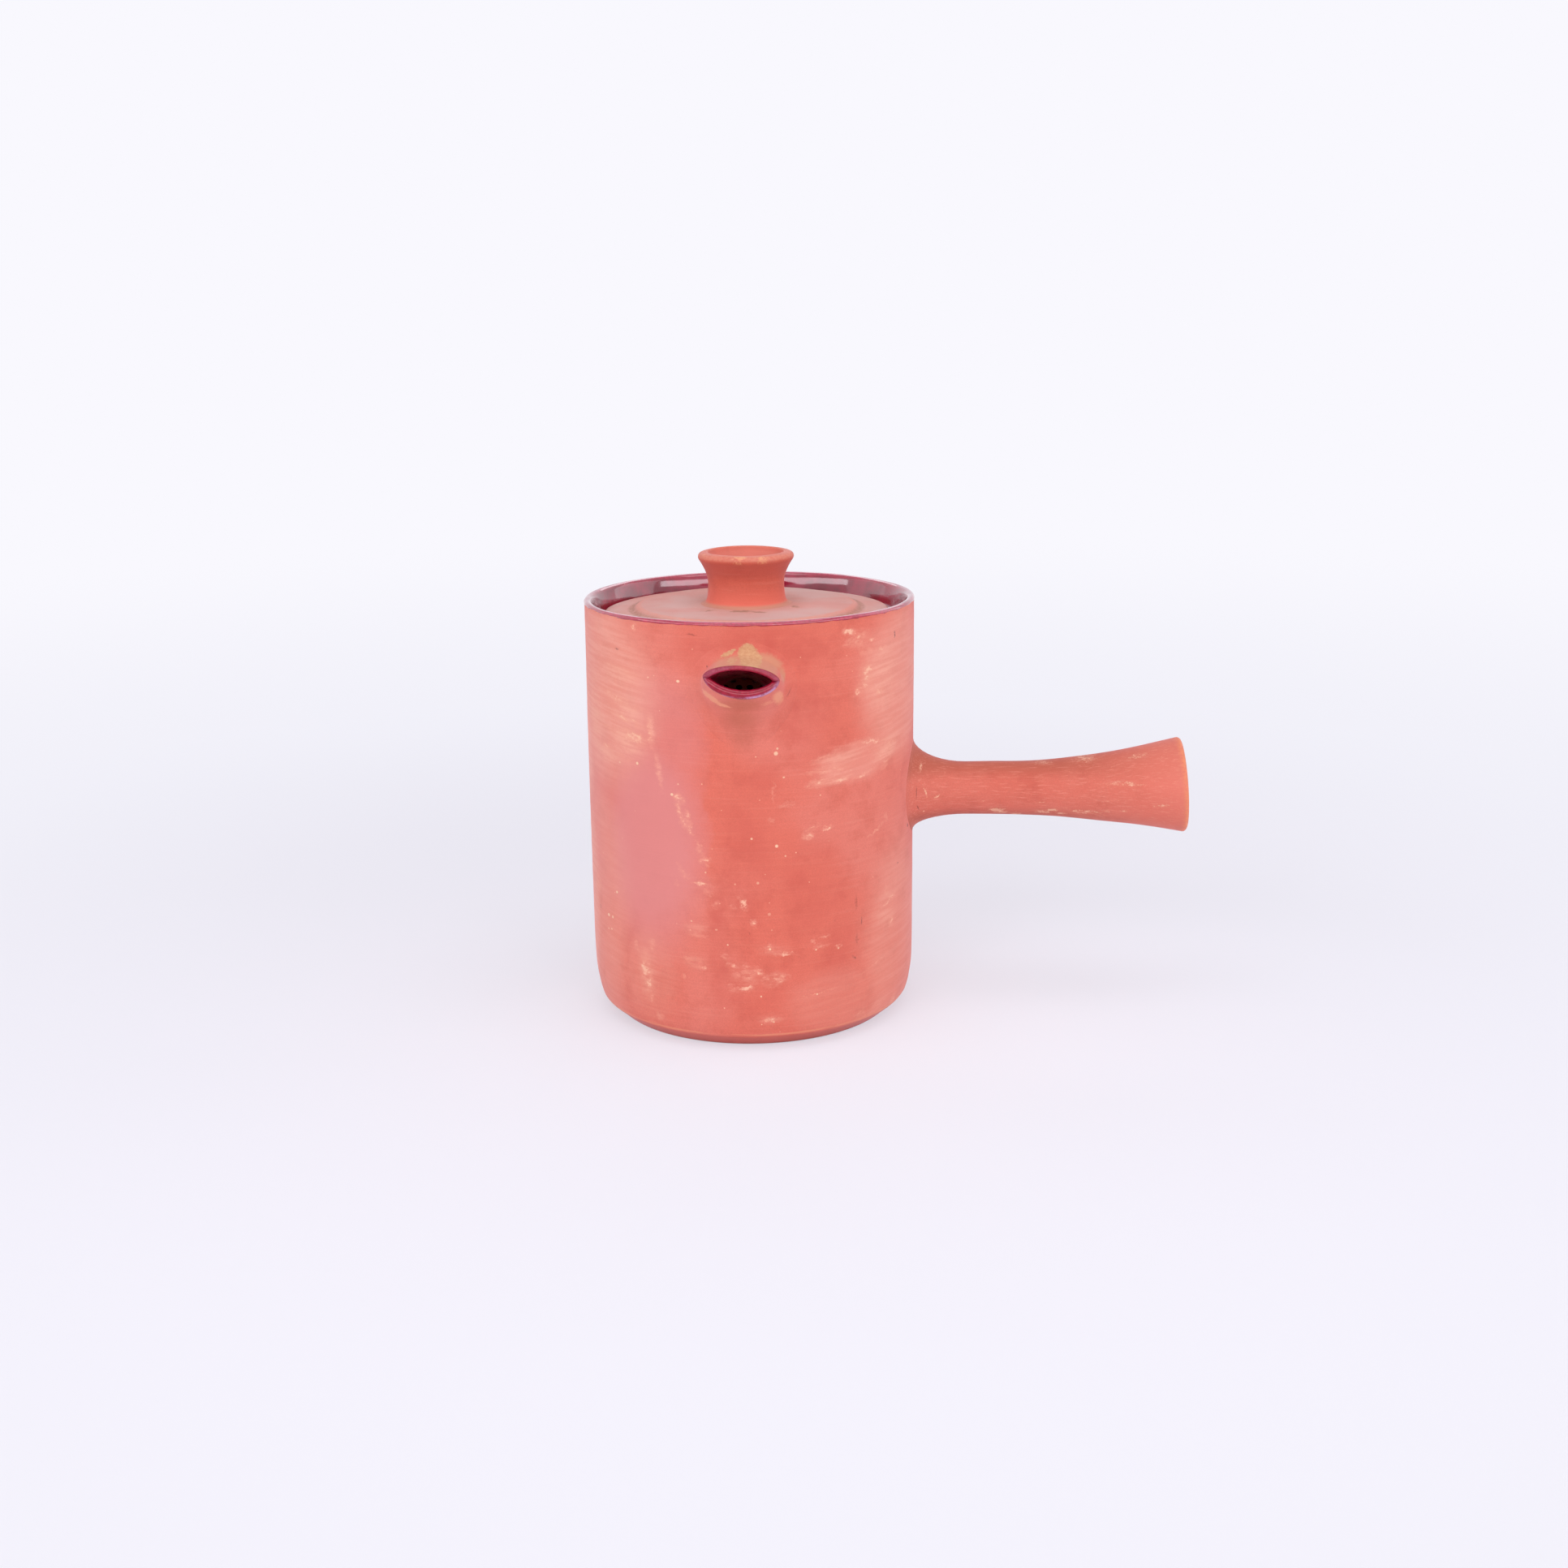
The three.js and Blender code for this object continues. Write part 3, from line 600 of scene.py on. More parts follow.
# %% Throw the pot
pot_outline = [*outside_line, *lip_line, *inside_line]
pot_shell = thrown(pot_outline, POT_STEPS)
for vert in pot_shell.verts:
    vert.co = settle(vert.co)
glaze_source = pot_shell.copy()
pot_clay = finish_piece("pot_clay", pot_shell)

# %% [markdown]
# ## Spout
# The spout is a short tube, squeezed flat at its mouth so that two lips meet in corners,
# the upper one lapping the lower like an eyelid. Its foot is smeared onto the wall. The
# rings of the tube start on the wall itself, wobble and all, spread by a fillet, and pass
# through the lips into the channel, so clay and joint are one closed skin. The mouth sits
# a little askew, as it does in the photograph.

# %% Size the spout
SPOUT_MOUTH = {"half": 12.4, "top": 139.4, "bottom": 129.4, "corner": 0.62, "pinch": 0.14}
SPOUT_ROOT = {"half": 14.6, "top": 142.0, "bottom": 110.5, "corner": 0.61, "pinch": 0.14}
SPOUT_OPENING = {"half": 10.5, "top": 138.3, "bottom": 131.85, "corner": 0.56, "pinch": 0.55}
SPOUT_HOLE = {"half": 9.4, "top": 133.2, "bottom": 115.4, "corner": 0.5, "pinch": 0.14}
MOUTH_TILT = math.tan(math.radians(3.4))
print("mouth", round(2 * SPOUT_MOUTH["half"], 1), "wide, reaches", round(SPOUT_REACH, 1))


# %% Draw its sections
def wall_front(across, height):
    """Distance from the axis plane to the pot's front at a point, wobble included."""
    radius = wall_radius(height)
    flat = Vector((across, -math.sqrt(max(1, radius ** 2 - across ** 2)), height))
    return -settle(flat).y


def section_size(share, inner, outer):
    """Half width, top, bottom and the rest of a section: share is 0 at the wall, 1 at the lips."""
    back = 0.85 * (1 - share) ** 1.25 + 0.15 * (1 - math.sqrt(1 - (1 - share) ** 2))
    return {key: outer[key] + (inner[key] - outer[key]) * back for key in outer}


def spout_section(turn, share, inner, outer, keel, grow=0.0):
    """Across and height of a point on a section of the tube."""
    size = section_size(share, inner, outer)
    half = size["half"] + grow
    top = size["top"] + grow
    bottom = size["bottom"] - grow
    corner = bottom + (top - bottom) * size["corner"]
    pinch = 1 + size["pinch"] * share
    side = math.cos(turn)
    lift = math.copysign(abs(math.sin(turn)) ** pinch, math.sin(turn))
    point = 1 + (keel - 1) * (1 - share) if lift < 0 else 1
    across = half * math.copysign(abs(side) ** point, side)
    height = corner + lift * (top - corner if lift > 0 else corner - bottom)
    return across, height - MOUTH_TILT * across * share


print("wall under the mouth at", round(wall_front(0, SPOUT_MOUTH["bottom"]), 2), "mm")

# %% Place its skin and channel
SPOUT_KEEL = 1.7
SPOUT_LEAN = 2.5
LIP_SETBACK = 0.9
LIP_LAP = 0.5


def corner_nearness(turn, width):
    """1 where the lips meet in the corners of the mouth, fading out over some degrees."""
    off = abs(math.degrees(math.asin(clamp(math.sin(turn), -1, 1))))
    return math.exp(-((off / width) ** 2))


def lip_front(turn, height):
    """Distance of the lips from the axis plane, before their roll."""
    level = (height - SPOUT_MOUTH["bottom"]) / (SPOUT_MOUTH["top"] - SPOUT_MOUTH["bottom"])
    lap = LIP_LAP * corner_nearness(turn, 26) * clamp(math.sin(turn) * 8, -1, 1)
    front = BELLY_RADIUS + SPOUT_REACH - LIP_SETBACK
    return front - SPOUT_LEAN * level + lap - 0.4 * corner_nearness(turn, 14)


def spout_place(turn, share, inner, outer, keel, grow=0.0, sink=0.0):
    """A point of the spout's skin or channel between the wall and the lips."""
    across, height = spout_section(turn, share, inner, outer, keel, grow)
    wall = wall_front(across, height) - sink
    out = wall + (lip_front(turn, height) - wall) * share
    return Vector((across, -out, height))


def spout_skin(turn, share, grow=0.0, sink=0.0):
    """A point on the outside of the spout."""
    return spout_place(turn, share, SPOUT_ROOT, SPOUT_MOUTH, SPOUT_KEEL, grow, sink)


def spout_channel(turn, share, sink=0.0):
    """A point on the inside of the spout."""
    return spout_place(turn, share, SPOUT_HOLE, SPOUT_OPENING, 1.0, 0.0, sink)


print("upper lip's front at", round(lip_front(math.pi / 2, SPOUT_MOUTH["top"]), 2), "mm")

# %% Shape its lips
LIP_ROLL = 1.25


def spout_lip(turn, angle):
    """A point on the rolled lip: 0 is its outside edge and 180 its inside edge."""
    start = spout_skin(turn, 1)
    end = spout_channel(turn, 1)
    across = (1 - math.cos(math.radians(angle))) / 2
    width = (end - start).length
    crease = 1 - 0.4 * corner_nearness(turn, 6)
    roll = min(LIP_ROLL, 0.6 * width) * math.sin(math.radians(angle)) ** 0.9 * crease
    place = start.lerp(end, across)
    return Vector((place.x, place.y - roll, place.z))


print("top of the upper lip", [round(v, 2) for v in spout_lip(math.pi / 2, 90)])

# %% Roll the spout
SPOUT_STEPS = 128
SPOUT_FILLET = 3.4
SUNK = 0.6
SUNK_SPREAD = 0.4


def spout_rings():
    """Every ring of the spout in order, as functions of the turn."""
    rings = [lambda turn: spout_skin(turn, 0, SPOUT_FILLET + SUNK_SPREAD, SUNK)]
    for angle in (0, 15, 30, 45, 60, 75):
        bend = math.radians(angle)
        share = SPOUT_FILLET * (1 - math.cos(bend)) / SPOUT_REACH
        grow = SPOUT_FILLET * (1 - math.sin(bend))
        rings.append(lambda turn, share=share, grow=grow: spout_skin(turn, share, grow))
    for share in (0.23, 0.32, 0.42, 0.52, 0.62, 0.71, 0.8, 0.87, 0.93, 0.97):
        rings.append(lambda turn, share=share: spout_skin(turn, share))
    for angle in (4, 16, 30, 46, 64, 84, 104, 124, 142, 158, 172):
        rings.append(lambda turn, angle=angle: spout_lip(turn, angle))
    for share in (0.96, 0.9, 0.82, 0.7, 0.56, 0.42, 0.28, 0.14, 0):
        rings.append(lambda turn, share=share: spout_channel(turn, share))
    rings.append(lambda turn: spout_channel(turn, 0, SUNK))
    return rings


rings_of_spout = spout_rings()
spout_shell = rolled(
    len(rings_of_spout),
    SPOUT_STEPS,
    lambda ring, turn: rings_of_spout[ring](turn),
)
spout_glaze_source = spout_shell.copy()
spout_clay = finish_piece("spout_clay", spout_shell)
spout_clay.data.set_sharp_from_angle(angle=CREASE_ANGLE)

# %% Open the wall behind the spout
HOLE_ENDS = [4.0, -9.0]
HOLE_STEPS = 64


def hole_place(ring, turn):
    """Two rings, one in front of the wall and one behind it."""
    across, height = spout_section(turn, 0, SPOUT_HOLE, SPOUT_OPENING, 1.0)
    return Vector((across, -wall_front(across, height) - HOLE_ENDS[ring], height))


def hole_plug():
    """A plug in the channel's shape: two rings, bridged and capped."""
    plug = bmesh.new()
    for ring in range(2):
        bmesh.ops.create_circle(plug, segments=HOLE_STEPS, radius=1)
    plug.verts.ensure_lookup_table()
    for index, vert in enumerate(plug.verts):
        turn = 2 * math.pi * (index % HOLE_STEPS) / HOLE_STEPS
        vert.co = hole_place(index // HOLE_STEPS, turn)
    bmesh.ops.bridge_loops(plug, edges=plug.edges[:])
    bmesh.ops.holes_fill(plug, edges=plug.edges[:])
    bmesh.ops.recalc_face_normals(plug, faces=plug.faces)
    return finish_piece("hole_plug", plug)


carve(pot_clay, hole_plug())

# %% [markdown]
# ## Glaze
# Glaze is a skin of glass on the clay. It could be painted on with a mask, but then its
# edge would be flat. Here it is lifted from the clay's own faces: the glazed ones are
# copied, pushed out by two tenths of a millimetre, thinner at the edge, and thickened
# inwards so that no gap shows. Its lower edge outside the rim is ragged, as dipped glaze is.

# %% A helper that lifts a coat
GLAZE_STAND = 0.2
GLAZE_EDGE = 0.05
GLAZE_DEPTH = 0.5


def glaze_coat(name, clay, is_glazed, fray=None):
    """A closed skin over the faces of the clay for which is_glazed says yes."""
    bare = [face for face in clay.faces if not is_glazed(face.calc_center_median())]
    bmesh.ops.delete(clay, geom=bare, context="FACES")
    clay.normal_update()
    lift = {}
    for vert in clay.verts:
        near_edge = any(edge.is_boundary for edge in vert.link_edges)
        lift[vert] = (vert.normal.copy(), GLAZE_EDGE if near_edge else GLAZE_STAND)
    inner = bmesh.ops.extrude_face_region(clay, geom=clay.faces[:], use_keep_orig=True)
    for vert in [part for part in inner["geom"] if isinstance(part, bmesh.types.BMVert)]:
        vert.co -= vert.normal * GLAZE_DEPTH
    for vert, (normal, stand) in lift.items():
        vert.co += normal * stand
    if fray:
        for vert in clay.verts:
            vert.co = fray(vert.co)
    bmesh.ops.recalc_face_normals(clay, faces=clay.faces)
    return finish_piece(name, clay)


print("coats stand", GLAZE_STAND, "mm off the clay")

# %% Glaze the rim and the bowl
FRAY_TOP = POT_HEIGHT - 0.7
LONG_RUN = 0.4
SHORT_RUN = 0.36
BEHIND_STRAINER = -30


def on_rim(place):
    """Over the rim, and down the neck inside it to the ledge."""
    radius = math.hypot(place.x, place.y)
    outside = place.z > GLAZE_TAIL and radius > NECK_RADIUS
    inside = place.z > LEDGE_TOP + 0.05 and NECK_RADIUS - 1.6 < radius < RIM_RADIUS - 1
    return outside or inside


def fray_tail(place):
    """The glaze's lower edge outside runs up and down a little."""
    radius = math.hypot(place.x, place.y)
    if radius < RIM_RADIUS - 1 or place.z > FRAY_TOP:
        return place
    share = (FRAY_TOP - place.z) / (FRAY_TOP - GLAZE_TAIL)
    long_runs = noise.noise(Vector((place.x * 0.06, place.y * 0.06, 1.3)))
    short_runs = noise.noise(Vector((place.x * 0.35, place.y * 0.35, 7.9)))
    run = LONG_RUN * long_runs + SHORT_RUN * short_runs
    return Vector((place.x, place.y, place.z + run * clamp(share)))


def in_bowl(place):
    """Inside, below the ledge, but not where the strainer is luted on."""
    radius = math.hypot(place.x, place.y)
    low = place.z < LEDGE_BOTTOM and (place.z > FLOOR_TOP - 1.5)
    within = radius < INNER_RADIUS + 0.6 and place.y > -INNER_RADIUS - 0.6
    around_strainer = math.hypot(place.x, place.z - STRAINER_CENTRE) < STRAINER_RADIUS - 1.5
    behind_strainer = place.y < BEHIND_STRAINER and around_strainer
    return low and within and not behind_strainer


bowl_source = glaze_source.copy()
rim_glaze_coat = glaze_coat("rim_glaze_coat", glaze_source, on_rim, fray_tail)
interior_glaze_coat = glaze_coat("interior_glaze_coat", bowl_source, in_bowl)

# %% Glaze the lips and the channel
LIP_DIP = 1.0
CHANNEL_MARGIN = 0.45


def on_spout_lips(place):
    """The rolled lips, and a little of the clay behind them that the dip has reached."""
    level = (place.z - SPOUT_MOUTH["bottom"]) / (SPOUT_MOUTH["top"] - SPOUT_MOUTH["bottom"])
    lips = BELLY_RADIUS + SPOUT_REACH - LIP_SETBACK - SPOUT_LEAN * level
    return -place.y > lips - LIP_DIP or in_channel(place)


def in_channel(place):
    """Inside the tube, judged by an oval a little wider than the channel."""
    wall = wall_front(place.x, place.z)
    share = clamp((-place.y - wall) / (lip_front(math.pi / 2, place.z) - wall))
    oval = section_size(share, SPOUT_HOLE, SPOUT_OPENING)
    middle = (oval["top"] + oval["bottom"]) / 2 - MOUTH_TILT * place.x * share
    tall = (oval["top"] - oval["bottom"]) / 2 + CHANNEL_MARGIN
    half = oval["half"] + CHANNEL_MARGIN
    return math.hypot(place.x / half, (place.z - middle) / tall) < 1


spout_glaze_coat = glaze_coat("spout_glaze_coat", spout_glaze_source, on_spout_lips)

# %% [markdown]
# ## Strainer
# Inside, over the spout's hole, sits a little pierced dome that keeps the leaves back. It
# is a thrown cup, turned on its side and luted to the wall, and its nineteen holes are
# pricked with one tool: a bundle of rods that a Boolean takes away in a single cut.

# %% Make the pierced dome
STRAINER_RISE = 9.0
STRAINER_WALL = 2.4
STRAINER_INSIDE = STRAINER_RADIUS - STRAINER_WALL
SKIRT_END = -2.6
DOME_STEPS = 72


def strainer_base():
    """How far from the pot's axis the dome's edge meets the wall."""
    return math.sqrt(INNER_RADIUS ** 2 - STRAINER_RADIUS ** 2)


def dome_line(radius, rise, steps):
    """Outline of a shallow dome from its edge to its top."""
    ball = (radius ** 2 + rise ** 2) / (2 * rise)
    start = 90 - math.degrees(math.asin(radius / ball))
    line = bow((0, rise - ball), (ball, ball), start, 90, steps)
    return [*line[:-1], (0, rise)]


dome_outer = dome_line(STRAINER_RADIUS, STRAINER_RISE, 12)
dome_inner = dome_line(STRAINER_INSIDE, STRAINER_RISE - STRAINER_WALL, 10)
skirt = [(STRAINER_INSIDE, SKIRT_END), (STRAINER_RADIUS, SKIRT_END), (STRAINER_RADIUS + 0.25, -1.2)]
dome_shell = thrown([*reversed(dome_inner), *skirt, *dome_outer], DOME_STEPS)
lay_down = Matrix.Rotation(math.radians(-90), 3, "X")
bmesh.ops.rotate(dome_shell, cent=(0, 0, 0), matrix=lay_down, verts=dome_shell.verts)
dome_place = Vector((0, -strainer_base(), STRAINER_CENTRE))
bmesh.ops.translate(dome_shell, vec=dome_place, verts=dome_shell.verts)
strainer_dome = finish_piece("strainer_dome", dome_shell)

# %% Prick the holes
PRICK_RADIUS = 1.2
PRICK_PITCH = 3.7
PRICK_RINGS = 3
ROD = {"segments": 16, "radius1": PRICK_RADIUS, "radius2": PRICK_RADIUS, "depth": 20}
pricks = bmesh.new()
for ring in range(PRICK_RINGS):
    count = max(1, ring * 6)
    for hole in range(count):
        angle = 2 * math.pi * hole / count
        across = ring * PRICK_PITCH * math.cos(angle)
        height = STRAINER_CENTRE + ring * PRICK_PITCH * math.sin(angle)
        spot_of_hole = Matrix.Translation((across, -strainer_base() + 6, height))
        lying = spot_of_hole @ Matrix.Rotation(math.radians(90), 4, "X")
        bmesh.ops.create_cone(pricks, cap_ends=True, cap_tris=False, matrix=lying, **ROD)
carve(strainer_dome, finish_piece("prick_rods", pricks))

# %% [markdown]
# ## Side handle
# The handle is a hollow trumpet, thrown apart and luted to the wall at a right angle to
# the spout. It leaves the wall in a wide soft fillet, is thinnest a fifth of the way out,
# and flares to an open end that is cut a little askew. The rings follow the wall at the
# root, then the trumpet's own outline, turn in over the lip and come back inside.

# %% Draw the handle
HANDLE_REACH = 97.7
HANDLE_HEIGHT = 80.6
HANDLE_WAIST = 9.68
HANDLE_FILLET = 7.4
HANDLE_ROOT_LENGTH = 19.0
HANDLE_END_FLARE = 7.67
HANDLE_END_LENGTH = 65.0
HANDLE_TILT = math.tan(math.radians(4.2))
HANDLE_SWING = math.radians(-2)
HANDLE_ROOT_RISE = 1.2
HANDLE_END_RISE = 1.7
HANDLE_STRAY = 0.28
HANDLE_FOLLOW = 22


def handle_end_share(distance):
    """0 along the grip, rising to 1 at the open end."""
    return clamp(1 - (HANDLE_REACH - distance) / HANDLE_END_LENGTH) ** 1.75


def handle_place(turn, distance, radius, sink=0.0):
    """A point of the handle: distance is measured from the wall along the handle."""
    root = clamp(1 - distance / HANDLE_ROOT_LENGTH) ** 3
    end = handle_end_share(distance)
    hand = noise.noise(Vector((distance * 0.05, math.cos(turn) * 0.9, math.sin(turn) * 0.9 + 3)))
    reach = radius + HANDLE_STRAY * hand * ease(distance / 15)
    side = reach * math.cos(turn)
    rise = reach * math.sin(turn)
    height = HANDLE_HEIGHT + HANDLE_ROOT_RISE * root + HANDLE_END_RISE * end + rise
    swing = Matrix.Rotation(HANDLE_SWING, 3, "Z")
    flat = Vector((math.sqrt(max(1, wall_radius(height) ** 2 - side ** 2)), side, height))
    on_wall = (swing.inverted() @ settle(swing @ flat)).x
    follow = 1 - ease(distance / HANDLE_FOLLOW)
    start = BELLY_RADIUS + (on_wall - BELLY_RADIUS) * follow - sink
    out = start + distance - rise * HANDLE_TILT * end
    return swing @ Vector((out, side, height))


def handle_radius(distance):
    """Outside radius beyond the root's fillet."""
    return HANDLE_WAIST + HANDLE_END_FLARE * handle_end_share(distance)


print("waist", HANDLE_WAIST, "end", round(handle_radius(HANDLE_REACH), 2), "mm in radius")

# %% Roll the handle
HANDLE_STEPS = 96
HANDLE_WALL = 3.8
HANDLE_LIP = 1.3
INNER_LIP = 1.0
GRIP_RINGS = 26


def handle_rings():
    """Distance, radius and depth under the wall of every ring."""
    rings = [(0, HANDLE_WAIST + HANDLE_FILLET + SUNK_SPREAD, SUNK)]
    for angle in range(0, 90, 9):
        bend = math.radians(angle)
        distance = HANDLE_ROOT_LENGTH * (1 - math.cos(bend))
        rings.append((distance, HANDLE_WAIST + HANDLE_FILLET * (1 - math.sin(bend)), 0))
    last = HANDLE_REACH - HANDLE_LIP
    for step in range(GRIP_RINGS + 1):
        distance = HANDLE_ROOT_LENGTH + (last - HANDLE_ROOT_LENGTH) * step / GRIP_RINGS
        rings.append((distance, handle_radius(distance), 0))
    edge = handle_radius(last)
    for angle in (18, 36, 54, 72, 90):
        bend = math.radians(angle)
        outer = edge - HANDLE_LIP * (1 - math.cos(bend))
        rings.append((last + HANDLE_LIP * math.sin(bend), outer, 0))
    for angle in (90, 68, 45, 22, 0):
        bend = math.radians(angle)
        inner = edge - HANDLE_WALL + INNER_LIP * (1 - math.cos(bend))
        rings.append((HANDLE_REACH - INNER_LIP + INNER_LIP * math.sin(bend), inner, 0))
    for step in range(GRIP_RINGS, -1, -1):
        distance = 2 + (last - 4) * step / GRIP_RINGS
        rings.append((distance, handle_radius(distance) - HANDLE_WALL, 0))
    rings.append((0, HANDLE_WAIST - HANDLE_WALL + 1, SUNK))
    return rings


rings_of_handle = handle_rings()
handle_shell = rolled(
    len(rings_of_handle),
    HANDLE_STEPS,
    lambda ring, turn: handle_place(turn, *rings_of_handle[ring]),
)
handle_clay = finish_piece("handle_clay", handle_shell)
handle_clay.data.set_sharp_from_angle(angle=CREASE_ANGLE)

# %% [markdown]
# ## Lid
# The lid is a flat thrown disc with a raised middle and, underneath, a ring that keeps it
# from sliding off the ledge. It sits nearly a millimetre left of the pot's centre, as a
# loose lid does. Both it and the knob are outlines spun on the lid's own axis.

# %% Draw the lid's underside
RING_RADIUS = LID_RADIUS - 5.5
RING_WALL = 3.5
RING_DEPTH = 5.0
lid_under = [
    (0, 0.1),
    (14, 0.1),
    (28, 0.05),
    (RING_RADIUS - RING_WALL - 1.5, 0),
    (RING_RADIUS - RING_WALL - 0.4, -0.15),
    (RING_RADIUS - RING_WALL, -0.7),
    (RING_RADIUS - RING_WALL, 0.8 - RING_DEPTH),
    (RING_RADIUS - RING_WALL + 0.3, 0.15 - RING_DEPTH),
    (RING_RADIUS - RING_WALL + 0.9, -RING_DEPTH),
    (RING_RADIUS - 0.9, -RING_DEPTH),
    (RING_RADIUS - 0.3, 0.15 - RING_DEPTH),
    (RING_RADIUS, 0.8 - RING_DEPTH),
    (RING_RADIUS, -0.5),
    (RING_RADIUS + 0.15, -0.1),
    (RING_RADIUS + 0.6, 0),
    (LID_RADIUS - 1.1, 0),
]
print(len(lid_under), "points underneath")

# %% Draw the lid's edge and top
LID_MIDDLE = LID_RADIUS - 12.2
lid_edge = [
    (LID_RADIUS - 0.4, 0.18),
    (LID_RADIUS - 0.08, 0.6),
    (LID_RADIUS, 1.2),
    (LID_RADIUS - 0.02, 1.9),
    (LID_RADIUS - 0.2, 2.5),
    (LID_RADIUS - 0.6, 2.9),
    (LID_RADIUS - 1.3, 3.15),
]
lid_shoulder = curve_through(
    [
        (LID_RADIUS - 2.6, 3.3),
        (LID_MIDDLE + 6, 3.7),
        (LID_MIDDLE + 3.0, 3.8),
        (LID_MIDDLE + 1.5, 4.0),
        (LID_MIDDLE + 0.4, 4.75),
        (LID_MIDDLE - 0.7, 5.35),
        (LID_MIDDLE - 3.0, 5.5),
        (LID_MIDDLE - 10, 5.5),
    ],
    4,
)
lid_top = [(22, 5.48), (18, 5.45), (9, 5.4), (0, 5.4)]
print(len(lid_edge) + len(lid_shoulder) + len(lid_top), "points on the edge and top")

# %% Throw the lid
LID_SEAT = lid_box[0].z / MM + RING_DEPTH
LID_STEPS = 144
LID_LIFT = 0.14
LID_STRAY = 0.0025


def warp_lid(place):
    """A fired lid is never quite flat or round."""
    lift = noise.noise(Vector((place.x * 0.028, place.y * 0.028, 2.4)))
    edge = ease((math.hypot(place.x, place.y) - 20) / 30)
    upper = ease((place.z - 1.5) / 1.5)
    stray = 1 + LID_STRAY * noise.noise(Vector((place.x * 0.02, place.y * 0.02, 8.8)))
    return Vector((place.x * stray, place.y * stray, place.z + LID_LIFT * lift * edge * upper))


lid_shell = thrown([*lid_under, *lid_edge, *lid_shoulder, *lid_top], LID_STEPS)
for vert in lid_shell.verts:
    vert.co = warp_lid(vert.co)
bmesh.ops.translate(lid_shell, vec=(LID_CENTRE, 0, LID_SEAT), verts=lid_shell.verts)
lid_clay = finish_piece("lid_clay", lid_shell)

# %% [markdown]
# ## Knob
# The knob is a small hollow cup with a wide mouth, easy to grip with two fingers. Its foot
# runs out onto the lid in a soft fillet, the waist is a third of the way up, and the wall
# flares to a thin rounded lip. One curve passes through the points that the photo gives.

# %% Draw the knob
KNOB_HEIGHT = KNOB_TOP - LID_TOP
KNOB_WAIST = KNOB_LIP_RADIUS - 3.45
KNOB_MOUTH = KNOB_LIP_RADIUS - 3.7
KNOB_DEPTH = 11.6
knob_side = curve_through(
    [
        (KNOB_WAIST + 3.0, -0.1),
        (KNOB_WAIST + 1.7, 0.25),
        (KNOB_WAIST + 0.75, 1.2),
        (KNOB_WAIST + 0.25, 3.0),
        (KNOB_WAIST, 6.4),
        (KNOB_WAIST + 0.15, 9.2),
        (KNOB_WAIST + 0.9, 11.7),
        (KNOB_WAIST + 2.1, 14.2),
        (KNOB_WAIST + 3.15, 15.9),
        (KNOB_WAIST + 3.45, 16.7),
        (KNOB_WAIST + 3.35, 17.5),
        (KNOB_WAIST + 2.75, 18.15),
        (KNOB_WAIST + 1.7, 18.5),
        (KNOB_MOUTH + 0.75, KNOB_HEIGHT),
        (KNOB_MOUTH + 0.2, KNOB_HEIGHT - 0.15),
        (KNOB_MOUTH - 0.1, KNOB_HEIGHT - 0.7),
        (KNOB_MOUTH * 0.96, KNOB_HEIGHT - 2.6),
        (KNOB_MOUTH * 0.88, KNOB_HEIGHT - 5.6),
        (KNOB_MOUTH * 0.72, KNOB_HEIGHT - 8.6),
        (KNOB_MOUTH * 0.46, KNOB_HEIGHT - 10.8),
        (KNOB_MOUTH * 0.2, KNOB_HEIGHT - KNOB_DEPTH + 0.1),
    ],
    4,
)
knob_outline = [(0, -0.3), (KNOB_WAIST + 2.6, -0.3), *knob_side, (0, KNOB_HEIGHT - KNOB_DEPTH)]
print(len(knob_outline), "points on the knob")

# %% Throw the knob
KNOB_STEPS = 112
KNOB_STRAY = 0.008
KNOB_LIFT = 0.16
knob_shell = thrown(knob_outline, KNOB_STEPS)
for vert in knob_shell.verts:
    share = ease(vert.co.z / KNOB_HEIGHT)
    lift = noise.noise(Vector((vert.co.x * 0.07, vert.co.y * 0.07, 6.1)))
    stray = noise.noise(Vector((vert.co.x * 0.06, vert.co.y * 0.06, vert.co.z * 0.08)))
    vert.co.x *= 1 + KNOB_STRAY * stray * share
    vert.co.y *= 1 + KNOB_STRAY * stray * share
    vert.co.z += KNOB_LIFT * lift * share
bmesh.ops.translate(knob_shell, vec=(LID_CENTRE, 0, LID_TOP), verts=knob_shell.verts)
knob_clay = finish_piece("knob_clay", knob_shell)

# %% [markdown]
# ## Fired clay
# Low-fired terracotta is matt and chalky. Its colour drifts from pink to orange over a few
# centimetres, fine lines from the wheel run round it, a grain of sand shows close up, and
# a breath of pale dust catches the light where the wall turns away. All the clay shares
# this recipe, and each piece brings its own tints, so the pieces match but don't repeat.


